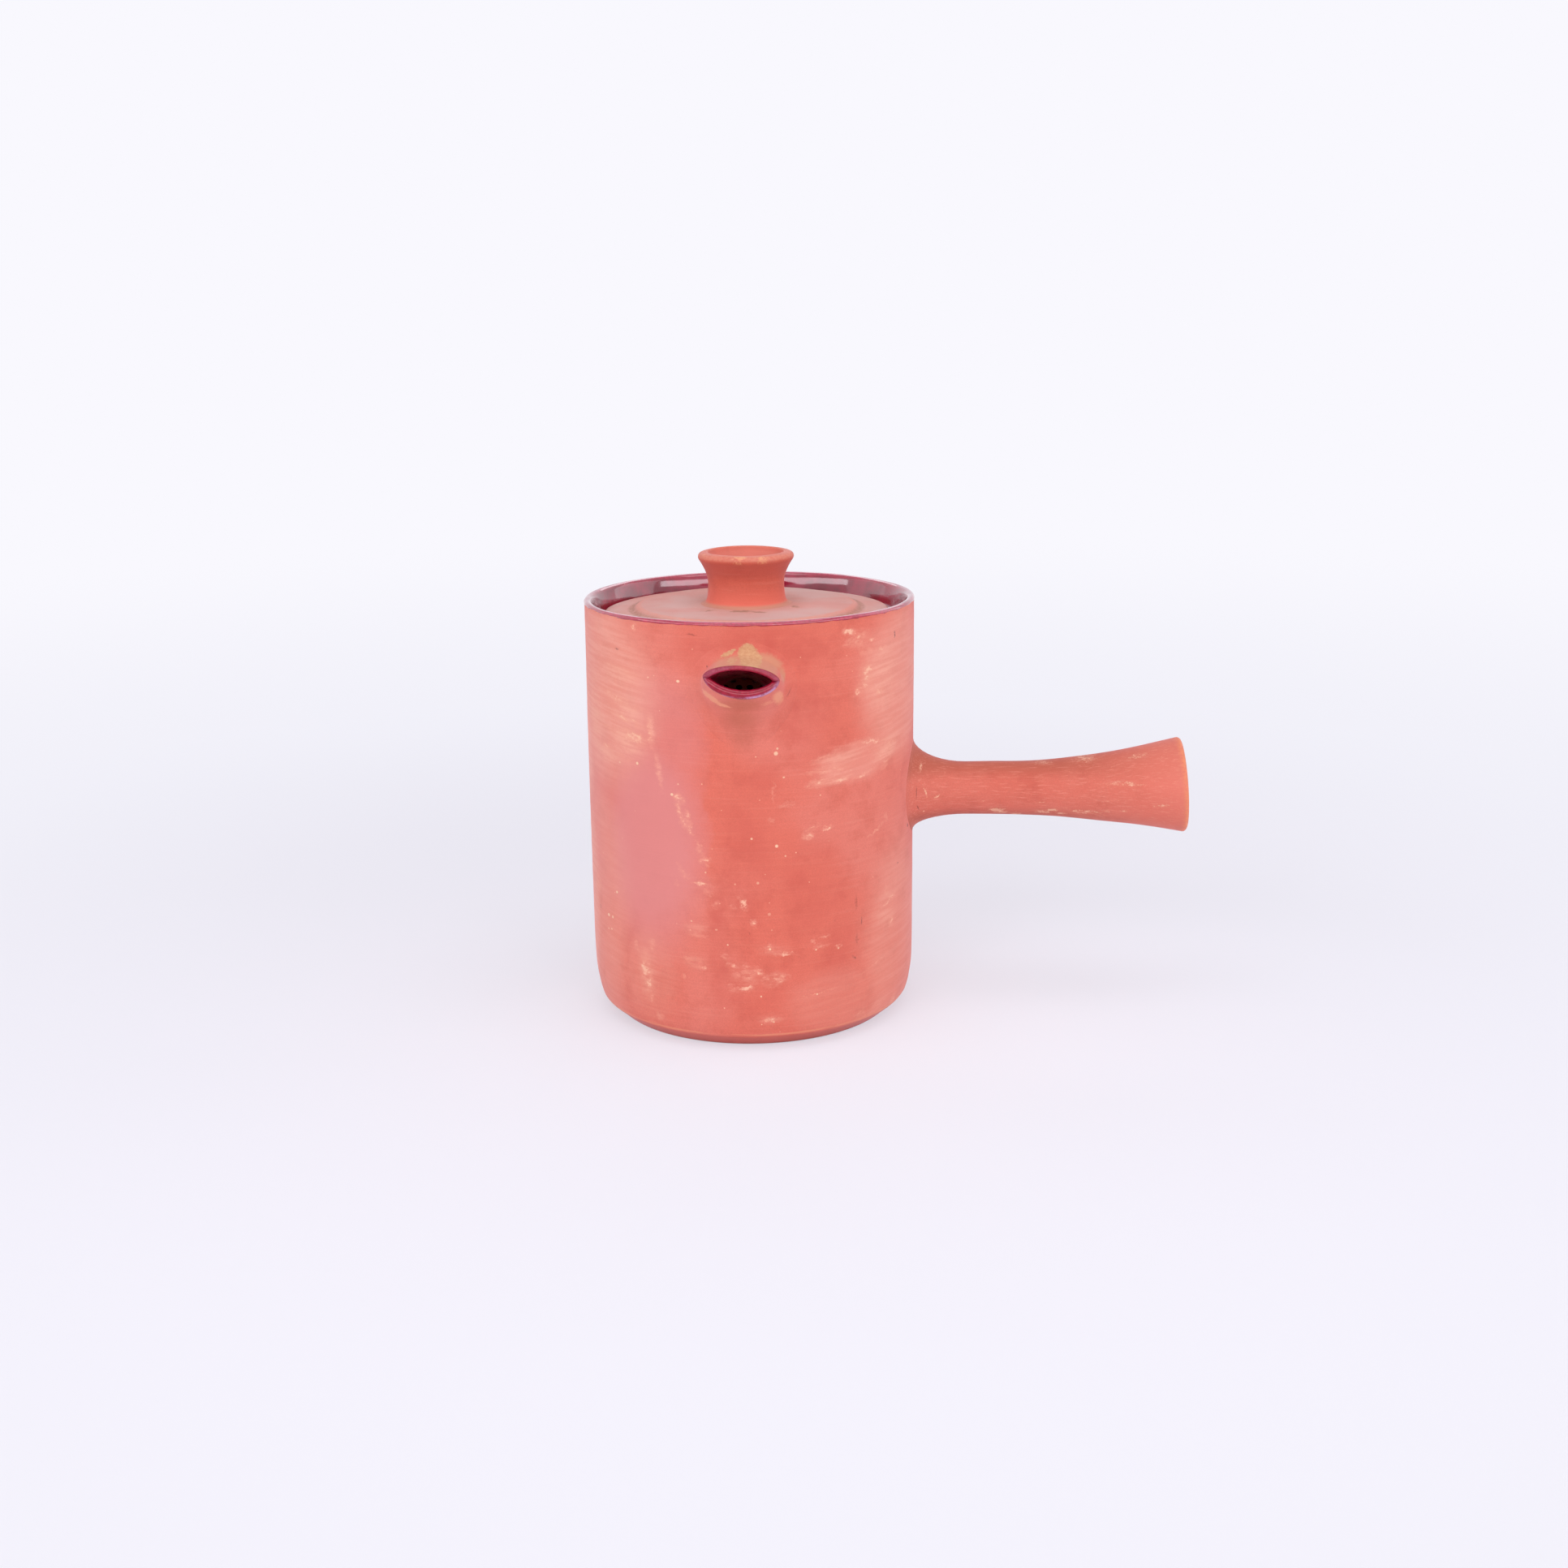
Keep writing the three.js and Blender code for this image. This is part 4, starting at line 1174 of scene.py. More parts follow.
# %% Tints of clay
def clay_tints(tree, place, lines, pink, orange, deep):
    """Drifting colour and fine lines. Returns the colour and the height of the relief."""
    drift = clouds(tree, place, 0.021, 2, 0.5, 0.4)
    mottle = clouds(tree, place, 0.11, 4, 0.62)
    turning = clouds(tree, lines, 1.0, 3, 0.62)
    grain = clouds(tree, place, 2.6, 2, 0.7)
    colour = blend(tree, remap(tree, drift, 0.36, 0.62), pink, orange)
    colour = blend(tree, remap(tree, mottle, 0.46, 0.72, 0, 0.42), colour, deep)
    light_lines = remap(tree, turning, 0.5, 0.74, 0, 0.1)
    colour = blend(tree, light_lines, colour, chip(240, 170, 150))
    dark_lines = remap(tree, turning, 0.46, 0.28, 0, 0.1)
    colour = blend(tree, dark_lines, colour, deep)
    sand = remap(tree, grain, 0.3, 0.7, 0.93, 1.07, soft=False)
    colour = blend(tree, 1.0, colour, grey(tree, sand), "MULTIPLY")
    relief = sums(tree, "MULTIPLY", turning, 0.5)
    return colour, sums(tree, "ADD", relief, sums(tree, "MULTIPLY", grain, 0.34))


def grey(tree, value):
    """A grey colour as bright as a number."""
    wires = {"Red": value, "Green": value, "Blue": value}
    return wire(tree, "ShaderNodeCombineColor", wires).outputs[0]


print("clay tints ready")

# %% Finish of clay
SHEEN_TINT = chip(248, 226, 244)
CLAY_SHEEN = 0.24
SHEEN_ROUGHNESS = 0.38
CLAY_ROUGHNESS = 0.78
CLAY_SPECULAR = 0.32
CLAY_IOR = 1.45
GRAIN_DEPTH = 0.00022
RELIEF_STRENGTH = 0.5


def finish_clay(tree, output, colour, relief, sheen=CLAY_SHEEN):
    """The matt shader with its dusty sheen and fine relief."""
    bump_wires = {"Height": relief, "Strength": RELIEF_STRENGTH, "Distance": GRAIN_DEPTH}
    bump = wire(tree, "ShaderNodeBump", bump_wires)
    wires = {"Base Color": colour, "Normal": bump.outputs[0], "Roughness": CLAY_ROUGHNESS}
    wires.update({"Specular IOR Level": CLAY_SPECULAR, "IOR": CLAY_IOR})
    wires.update({"Sheen Weight": sheen, "Sheen Roughness": SHEEN_ROUGHNESS})
    wires["Sheen Tint"] = SHEEN_TINT
    shader = wire(tree, "ShaderNodeBsdfPrincipled", wires)
    tree.links.new(shader.outputs[0], output.inputs["Surface"])


print("clay recipe ready, roughness", CLAY_ROUGHNESS)


# %% [markdown]
# ## Marks on the wall
# The wall carries smears of pale slip, scraped patches, specks and hairline cracks, each in
# its own place. An image would hold them, but a part that can be rescaled needs marks made
# by rule. The wall is unrolled: across is the arc from the spout's line, to the right, and
# up is the height. One small node group makes a soft oval anywhere on that sheet, at any
# turn, and noise breaks its edge up, as a dry brush or a worn surface does.

# %% Unroll the wall
LEDGE_EDGE = RIM_RADIUS - 5.2
FAR_OFF = 1000


def unrolled(tree, place):
    """Arc from the front line and height, both in millimetres."""
    parts = wire(tree, "ShaderNodeSeparateXYZ", {0: place}).outputs
    front = sums(tree, "MULTIPLY", parts[1], -1.0)
    turn = sums(tree, "ARCTAN2", parts[0], front)
    arc = sums(tree, "MULTIPLY", turn, RIM_RADIUS)
    # The ledge inside is sent far above the sheet, so that it carries none of the marks
    flat = stretch(tree, place, (1, 1, 0))
    radius = wire(tree, "ShaderNodeVectorMath", {0: flat}, operation="LENGTH").outputs[1]
    lift = remap(tree, radius, LEDGE_EDGE, LEDGE_EDGE - 1, 0, FAR_OFF)
    height = sums(tree, "ADD", parts[2], lift)
    return wire(tree, "ShaderNodeCombineXYZ", {0: arc, 1: height, 2: 0.0}).outputs[0], parts


print("half way round the wall is", round(math.pi * RIM_RADIUS), "mm across")


# %% Make the oval group
def oval_group():
    """An oval with a soft edge, 1 inside and 0 outside, as a group that marks can share."""
    group = bpy.data.node_groups.new("oval", "ShaderNodeTree")
    vectors = ("Place", "Centre", "Half")
    for name in (*vectors, "Turn", "Edge"):
        kind = "NodeSocketVector" if name in vectors else "NodeSocketFloat"
        group.interface.new_socket(name=name, in_out="INPUT", socket_type=kind)
    group.interface.new_socket(name="Mask", in_out="OUTPUT", socket_type="NodeSocketFloat")
    given = group.nodes.new("NodeGroupInput").outputs
    off_wires = {0: given["Place"], 1: given["Centre"]}
    off = wire(group, "ShaderNodeVectorMath", off_wires, operation="SUBTRACT").outputs[0]
    turn_wires = {"Vector": off, "Angle": given["Turn"]}
    turned = wire(group, "ShaderNodeVectorRotate", turn_wires, rotation_type="Z_AXIS").outputs[0]
    share_wires = {0: turned, 1: given["Half"]}
    share = wire(group, "ShaderNodeVectorMath", share_wires, operation="DIVIDE").outputs[0]
    away = wire(group, "ShaderNodeVectorMath", {0: share}, operation="LENGTH").outputs[1]
    start = sums(group, "SUBTRACT", 1.0, given["Edge"])
    mask = remap(group, away, 1.0, start)
    result = group.nodes.new("NodeGroupOutput")
    group.links.new(mask, result.inputs["Mask"])
    return group


OVAL = oval_group()
print("the oval group has", len(OVAL.nodes), "nodes")


# %% Place ovals and break them up
def ovals(tree, place, marks, edge):
    """The strongest of a list of marks: across, up, half width, half height, turn, strength."""
    total = None
    for across, up, wide, high, turn, strength in marks:
        wires = {"Place": place, "Centre": (across, up, 0), "Half": (wide, high, 1)}
        wires.update({"Turn": math.radians(-turn), "Edge": edge})
        node = tree.nodes.new("ShaderNodeGroup")
        node.node_tree = OVAL
        for name, value in wires.items():
            if isinstance(value, bpy.types.NodeSocket):
                tree.links.new(value, node.inputs[name])
            else:
                node.inputs[name].default_value = value
        mask = sums(tree, "MULTIPLY", node.outputs["Mask"], strength)
        total = mask if total is None else sums(tree, "MAXIMUM", total, mask)
    return total


def strayed_place(tree, place, scale, reach):
    """The place shifted by noise, so that a mark drawn with it loses its clean outline."""
    wires = {"Vector": place, "Scale": scale, "Detail": 5.0, "Roughness": 0.72}
    ragged = wire(tree, "ShaderNodeTexNoise", wires).outputs[1]
    off_wires = {0: ragged, 1: (0.5, 0.5, 0.5)}
    off = wire(tree, "ShaderNodeVectorMath", off_wires, operation="SUBTRACT").outputs[0]
    sum_wires = {0: place, 1: stretch(tree, off, [2 * amount for amount in reach])}
    return wire(tree, "ShaderNodeVectorMath", sum_wires, operation="ADD").outputs[0]


def broken(tree, mask, noise_value, depth, low, high):
    """A mask whose edge and inside are broken up by noise."""
    centred = sums(tree, "SUBTRACT", noise_value, 0.5)
    rough = sums(tree, "MULTIPLY_ADD", centred, depth)
    tree.links.new(mask, rough.node.inputs[2])
    return remap(tree, rough, low, high)


# %% [markdown]
# ## Wall
# The wall and the spout share one material, so that the join between them shows only as
# the photograph shows it. It is built up like paint, one layer over the last: the ground
# colour with the fine lines of the wheel, zones of tone, haze and brush strokes, the
# marks round the spout, then specks and cracks. Each layer has its own cell.

# %% Mix the wall's ground colour
wall_material, tree, output = new_material("wall clay")
place = place_in_mm(tree)
sheet, parts = unrolled(tree, place)
lines = stretch(tree, place, (0.035, 0.035, 1.15))
colour, relief = clay_tints(
    tree, place, lines, chip(224, 125, 108), chip(221, 113, 94), chip(203, 95, 77)
)
sway = clouds(tree, place, 0.07, 3, 0.6)
fine = clouds(tree, stretch(tree, place, (0.75, 0.75, 1.25)), 1.0, 6, 0.78)
strayed = strayed_place(tree, sheet, 0.35, (3.0, 2.0, 0))
print("ground colour,", len(tree.nodes), "nodes")

# %% [markdown]
# ## Zones of tone
# The fire turned parts of the wall pinker or redder. Pink lies left of the spout, with a
# border that runs down beside it, and the top and middle are redder. Each zone is a row of
# a table: across, up, half width, half height, turn and strength.

# %% Lay the pink and red zones
PINK_ZONES = [
    (-36, 74, 30, 52, -4, 1.0),
    (-30, 112, 24, 30, 0, 0.55),
    (-60, 76, 26, 42, 0, 0.5),
]
RED_ZONES = [
    (4, 142, 36, 14, 0, 1.0),
    (22, 118, 16, 22, 0, 0.8),
    (0, 72, 15, 34, 0, 0.6),
    (-10, 38, 6, 32, 0, 0.8),
    (24, 60, 18, 26, 0, 0.6),
    (34, 34, 12, 26, 0, 0.5),
    (6, 100, 10, 12, 0, 0.5),
    (0, 24, 18, 14, 0, 0.6),
]
sheet_parts = wire(tree, "ShaderNodeSeparateXYZ", {0: sheet}).outputs
swayed_arc = sums(tree, "ADD", sheet_parts[0], remap(tree, sway, 0.3, 0.7, -3, 3, soft=False))
pink = ovals(tree, strayed, PINK_ZONES, 0.6)
pink = sums(tree, "MULTIPLY", pink, remap(tree, swayed_arc, -10.8, -13.8))
colour = blend(tree, sums(tree, "MULTIPLY", pink, 0.8), colour, chip(222, 139, 135))
red_share = remap(tree, sway, 0.36, 0.62, 0.4, 1)
red = sums(tree, "MULTIPLY", ovals(tree, strayed, RED_ZONES, 0.8), red_share)
colour = blend(tree, sums(tree, "MULTIPLY", red, 0.72), colour, chip(204, 92, 78))
print(len(PINK_ZONES), "pink and", len(RED_ZONES), "red zones")

# %% [markdown]
# ## Pale zones and strokes
# A brush has dragged pale slip across the wall, and the strokes fall away to both sides of
# the front. So the noise that draws them is squeezed in height, which makes it streaky,
# and sinks with the distance from the front line. The photograph doesn't show the back:
# there the same streaks lie in zones that slow noise chooses.

# %% Set out the brush
STROKE_FALL = 0.13
STROKE_BEND = 60.0
across_square = sums(tree, "MULTIPLY", parts[0], parts[0])
across_size = sums(tree, "POWER", sums(tree, "ADD", across_square, STROKE_BEND), 0.5)
fallen = sums(tree, "SUBTRACT", parts[2], sums(tree, "MULTIPLY", across_size, STROKE_FALL))
stroke_wires = {0: parts[0], 1: parts[1], 2: fallen}
stroke_place = wire(tree, "ShaderNodeCombineXYZ", stroke_wires).outputs[0]
flow = clouds(tree, stretch(tree, stroke_place, (0.05, 0.05, 0.72)), 1.0, 4, 0.6)
torn = clouds(tree, stretch(tree, stroke_place, (0.3, 0.3, 0.62)), 1.0, 5, 0.7)
brushed = sums(tree, "ADD", sums(tree, "MULTIPLY", flow, 0.7), sums(tree, "MULTIPLY", fine, 0.3))
wide_drift = clouds(tree, place, 0.024, 2, 0.5)
at_back = remap(tree, parts[1], -8, 22)
behind = sums(tree, "MULTIPLY", remap(tree, wide_drift, 0.4, 0.62, 0, 0.55), at_back)
print("strokes fall", STROKE_FALL, "mm for each millimetre across")

# %% Lay the pale zones
# Pale slip, and toward both flanks, where the wall turns away, painted sheen as well
PALE_ZONES = [
    (-62, 124, 38, 42, 0, 0.7),
    (-70, 44, 30, 62, 0, 0.36),
    (-94, 112, 34, 50, 12, 0.8),
    (-88, 38, 26, 62, -8, 0.75),
    (66, 124, 30, 34, 0, 0.6),
    (68, 30, 32, 50, 0, 0.42),
    (44, 102, 24, 9, 8, 0.5),
    (-38, 24, 16, 22, 0, 0.25),
    (34, 16, 26, 16, 0, 0.25),
]
pale = sums(tree, "MAXIMUM", ovals(tree, strayed, PALE_ZONES, 0.5), behind)
pale_share = sums(tree, "MULTIPLY", pale, remap(tree, brushed, 0.4, 0.62, 0.66, 1.0))
colour = blend(tree, pale_share, colour, chip(240, 172, 152))
print(len(PALE_ZONES), "pale zones")

# %% Lay the haze
HAZE = [
    (-49.5, 130.4, 14.5, 5.6, -4, 0.55),
    (-48.2, 119.5, 14.1, 5.2, -8, 0.6),
    (-45.0, 107.9, 11.3, 6.0, -10, 0.8),
    (-56.4, 101.0, 10.3, 3.0, -4, 0.4),
    (-67.0, 115.3, 10.6, 14.9, 0, 0.5),
    (-33.5, 114.3, 1.9, 7.4, 8, 0.7),
    (-30.7, 100.3, 1.7, 7.4, 10, 0.7),
    (54.2, 129.1, 13.5, 14.9, 0, 0.5),
    (57.1, 102.8, 11.8, 6.0, 20, 0.7),
    (32.8, 102.9, 14.9, 4.5, 8, 0.5),
    (30.1, 96.1, 11.1, 2.6, 6, 0.8),
    (48.2, 7.0, 13.1, 3.0, 20, 0.5),
    (-38.2, 26.0, 6.5, 12.7, 0, 0.35),
    (0.9, 26.9, 13.4, 8.2, -15, 0.1),
    (57.4, 43.9, 10.6, 8.2, 10, 0.4),
    (-18.3, 32.6, 6.3, 4.5, 0, 0.25),
    (9.0, 37.5, 8.3, 3.0, -4, 0.3),
    (7.9, 12.0, 6.8, 3.0, 0, 0.35),
    (-18.0, 44.8, 7.0, 3.0, 0, 0.3),
    (-59.6, 4.6, 16.8, 3.7, -25, 0.3),
]
haze = sums(tree, "MAXIMUM", ovals(tree, strayed, HAZE, 0.9), sums(tree, "MULTIPLY", behind, 0.4))
haze_share = sums(tree, "MULTIPLY", haze, remap(tree, brushed, 0.42, 0.6, 0.2, 0.95))
colour = blend(tree, haze_share, colour, chip(240, 172, 148))
print(len(HAZE), "patches of haze")

# %% Say where the broad strokes are
BROAD_STROKES = [
    (-39.0, 25.0, 3.6, 12.0, 4, 0.8),
    (-1.0, 29.0, 6.5, 4.6, -30, 0.56),
    (9.5, 26.8, 6.0, 3.4, 10, 0.62),
    (42.0, 143.5, 6.5, 4.4, 0, 0.62),
    (45.5, 130.0, 4.2, 7.5, 0, 0.6),
    (-22.3, 84.8, 1.8, 8.0, 24, 0.75),
    (-34.2, 112.0, 1.2, 8.0, 9, 0.6),
    (-31.0, 99.0, 1.2, 8.0, 10, 0.6),
]
print(len(BROAD_STROKES), "broad strokes")

# %% Say where the narrow strokes are, higher up
HIGH_STROKES = [
    (-50.0, 122.4, 16.9, 2.5, -10, 0.6),
    (-41.5, 110.1, 8.8, 3.1, -12, 1.0),
    (-57.8, 104.0, 8.0, 1.3, -8, 0.6),
    (-48.7, 132.9, 15.4, 1.6, -6, 0.4),
    (-45.8, 115.8, 12.5, 1.5, -10, 0.6),
    (-52.7, 110.3, 13.1, 1.2, -10, 0.6),
    (-47.1, 101.9, 9.6, 1.2, -8, 0.3),
    (-23.1, 90.6, 3.1, 2.2, -40, 1.0),
    (-20.3, 85, 1.7, 3.3, 18, 0.95),
    (-19.1, 80.4, 1.4, 3, 14, 1.1),
    (-16.1, 73.6, 1.2, 3.7, 20, 0.6),
    (-14.0, 69.3, 2.8, 1.9, -30, 0.8),
    (-23.2, 65.7, 1, 3.4, 20, 0.6),
    (-21.8, 63.5, 2.4, 1.2, -20, 0.6),
    (-15.2, 61.1, 4.9, 1.1, -8, 1.0),
    (-13.0, 58.0, 2.6, 1.5, -10, 0.5),
    (-24.5, 60.6, 1, 1.3, 30, 0.7),
    (-10.1, 54.1, 1.7, 1.9, 0, 0.45),
    (-4.4, 52.9, 1.9, 1.5, 0, 0.4),
    (-1, 54.6, 1.5, 3.4, 30, 1.15),
    (2.4, 47.3, 1.3, 2.5, 20, 0.8),
    (-18.1, 43.0, 5.0, 1.3, -10, 0.4),
    (38.6, 146.6, 4.5, 2.1, -10, 1.0),
    (42.3, 143.8, 2.6, 2.5, 0, 0.8),
    (48.8, 142.6, 2.9, 0.9, 0, 0.9),
    (53.8, 138.7, 3.6, 0.7, 0, 0.9),
    (39.1, 142.1, 5.7, 0.9, 0, 0.5),
    (46.6, 132.5, 4.2, 2.0, 0, 1.1),
    (41.8, 125.3, 2.7, 2.2, 0, 1.0),
    (52.7, 124.2, 3.6, 1.9, 0, 0.8),
    (45.8, 138.7, 4.2, 2.2, 0, 0.4),
    (48.7, 107.3, 11.5, 1.0, -4, 0.95),
    (60.2, 104.3, 4.0, 2.1, 0, 0.7),
    (28.4, 104.7, 7.6, 0.7, 9, 0.5),
    (30.1, 99.7, 12.0, 1.2, 2, 0.8),
    (26.2, 95.8, 6.6, 1.5, 3, 0.8),
    (34.2, 95.7, 6.8, 1.0, 12, 0.8),
    (44.7, 96.3, 7.2, 0.9, 16, 0.9),
    (57.1, 98.8, 6.6, 1.9, 40, 0.6),
    (13.9, 89.3, 3.7, 1.0, 12, 0.5),
    (9.6, 94.0, 0.6, 5.2, 0, 0.4),
    (8.9, 84.0, 1.4, 1.3, 0, 0.5),
    (23.8, 80.3, 3.9, 1.3, 10, 0.8),
    (29.3, 79.5, 3.4, 0.9, 5, 1.1),
    (21.4, 77.5, 2.7, 1.8, 0, 0.8),
    (50.5, 74.5, 6.3, 0.7, 24, 0.6),
    (56.5, 78.3, 1.6, 2.5, 0, 0.4),
    (-40.4, 148.7, 1.4, 2.2, 0, 0.9),
]
print(len(HIGH_STROKES), "narrow strokes higher up")

# %% Say where the narrow strokes are, lower down
LOW_STROKES = [
    (-43.3, 34.6, 1.8, 2.7, 30, 0.8),
    (-35.8, 36.2, 2.2, 2.5, 0, 0.5),
    (-39.3, 26.6, 3.2, 3.9, 30, 1.1),
    (-38.2, 22.2, 2.1, 3.1, 0, 1.0),
    (-36.9, 16.8, 1.5, 4.5, 0, 0.7),
    (-34.1, 9.4, 2.1, 2.5, 40, 0.6),
    (-15.7, 30.8, 2.8, 0.9, -4, 0.8),
    (-20.9, 33.2, 2.4, 1.2, 0, 0.4),
    (-22.6, 26.9, 1.1, 1.8, 0, 0.5),
    (-5.1, 31.9, 2.7, 1.3, -24, 0.9),
    (-7.6, 35.1, 1.7, 2.1, 0, 0.5),
    (0.2, 31.9, 2.1, 1.0, -20, 0.7),
    (3.7, 29.8, 3.3, 1.5, -34, 0.9),
    (7.6, 26.6, 3.2, 1.3, 0, 0.9),
    (12.2, 26.9, 3.2, 1.8, 18, 0.8),
    (-0.5, 23.7, 3.7, 1.3, 0, 1.1),
    (-4.8, 22.7, 2.1, 1.3, 0, 0.7),
    (-6.0, 25.0, 1.2, 1.6, 0, 0.5),
    (7.8, 38.2, 1.7, 2.1, 0, 0.8),
    (13.1, 35.9, 5.2, 0.9, -5, 0.9),
    (27.3, 40.5, 3.0, 0.7, -4, 0.7),
    (23.5, 39.7, 1.5, 1.3, 0, 0.8),
    (26.1, 37.3, 3.0, 1.3, 0, 0.6),
    (33.1, 36.1, 1.4, 1.3, 0, 0.7),
    (56.8, 50.9, 2.6, 2.7, 0, 0.5),
    (58.6, 47.0, 8.5, 1.0, 20, 1.0),
    (60.1, 38.7, 2.1, 2.7, 20, 0.9),
    (50.7, 25.7, 10.3, 0.4, 20, 0.5),
    (25.3, 20.3, 9.0, 0.3, 6, 0.7),
    (8.0, 11.7, 5.1, 1.3, 0, 0.8),
    (43.6, 8.3, 4.4, 1.6, 10, 0.6),
    (64.4, 7.2, 3.9, 2.2, 40, 0.7),
    (-73.1, 48.4, 5.1, 3.0, -60, 0.5),
    (-68.8, 51.3, 4.5, 3.7, -60, 0.5),
]
print(len(LOW_STROKES), "narrow strokes lower down")

# %% Brush the strokes
ragged = strayed_place(tree, sheet, 0.42, (3.6, 2.4, 0))
back_wisps = sums(tree, "MULTIPLY", remap(tree, sway, 0.58, 0.72, 0, 0.6), at_back)
strokes = [*BROAD_STROKES, *HIGH_STROKES, *LOW_STROKES]
wisps = sums(tree, "MAXIMUM", ovals(tree, ragged, strokes, 0.9), back_wisps)
# A soft body, and over it the crisp crumbs that a dry brush leaves
body = sums(tree, "POWER", wisps, 0.6)
soft_wisps = sums(tree, "MULTIPLY", body, remap(tree, torn, 0.38, 0.58, 0.15, 0.75))
colour = blend(tree, soft_wisps, colour, chip(236, 160, 136))
crumbs = sums(tree, "ADD", sums(tree, "MULTIPLY", fine, 0.45), sums(tree, "MULTIPLY", torn, 0.55))
crisp = broken(tree, wisps, crumbs, 4.6, 0.66, 1.16)
colour = blend(tree, sums(tree, "MULTIPLY", crisp, 0.88), colour, chip(242, 188, 158))
print("strokes brushed,", len(tree.nodes), "nodes")

# %% [markdown]
# ## Round the spout
# A grey-brown shadow is painted under the spout. Slip was wiped over the mouth, in a thin
# film and a few thicker dabs, and rubbed into crescents at its lower corners. These marks
# are small, so their outlines stray less than those of the strokes.

# %% Shade and wipe round the spout
SPOUT_PAINTED_SHADOW = [
    (-0.6, 126.0, 10.5, 5.0, 0, 1.0),
    (-0.8, 120.5, 9.0, 7.5, 0, 0.85),
    (-0.4, 114.0, 6.5, 8.0, 0, 0.5),
]
SPOUT_FILM = [
    (-2.5, 139.1, 10.0, 3.4, 4, 0.75),
    (8.5, 138.8, 7.5, 3.6, -22, 0.8),
    (12.6, 134.5, 2.1, 4.2, 0, 0.6),
]
near_spout = strayed_place(tree, sheet, 0.7, (1.4, 1.0, 0))
# Painted shadow under the spout
painted_shade = sums(tree, "MULTIPLY", ovals(tree, near_spout, SPOUT_PAINTED_SHADOW, 0.9), 0.62)
colour = blend(tree, painted_shade, colour, chip(184, 98, 72))
film = broken(tree, ovals(tree, near_spout, SPOUT_FILM, 0.8), fine, 0.8, 0.05, 0.7)
colour = blend(tree, sums(tree, "MULTIPLY", film, 0.9), colour, chip(208, 144, 114))
print(len(SPOUT_PAINTED_SHADOW), "shades and", len(SPOUT_FILM), "films")

# %% Rub and dab round the spout
SPOUT_RUBS = [
    (-9.3, 128.2, 5.6, 1.9, -34, 1.0),
    (-5.8, 126.0, 4.0, 1.0, -14, 0.8),
    (10.9, 127.6, 3.0, 4.6, 24, 0.75),
    (7.6, 126.4, 4.0, 1.2, 12, 0.4),
]
SPOUT_SLIP = [
    (1.7, 142.0, 3.9, 3.8, 8, 1.0),
    (3.4, 140.4, 3.8, 2.6, -10, 0.9),
    (-4.6, 141.7, 3.4, 0.9, 26, 0.8),
    (-3.0, 140.2, 2.0, 1.0, 10, 0.5),
]
rubs = broken(tree, ovals(tree, near_spout, SPOUT_RUBS, 0.8), fine, 1.0, 0.1, 0.7)
colour = blend(tree, sums(tree, "MULTIPLY", rubs, 0.8), colour, chip(233, 160, 124))
slip = broken(tree, ovals(tree, near_spout, SPOUT_SLIP, 0.5), fine, 0.8, 0.15, 0.75)
slip_tint = blend(tree, remap(tree, fine, 0.4, 0.6), chip(202, 150, 106), chip(213, 168, 126))
colour = blend(tree, sums(tree, "MULTIPLY", slip, 0.9), colour, slip_tint)
print(len(SPOUT_RUBS), "rubs and", len(SPOUT_SLIP), "dabs")

# %% [markdown]
# ## Specks, pinholes and cracks
# Lime and grit in the clay show as pale specks. Most of the ones in the photograph have a
# row of their own, and a pattern of cells sprinkles finer ones over the whole wall.
# Pinholes, hairline cracks and scuffs are dark. Specks stand out a little and dark marks
# are cut in, which the relief at the end takes up.

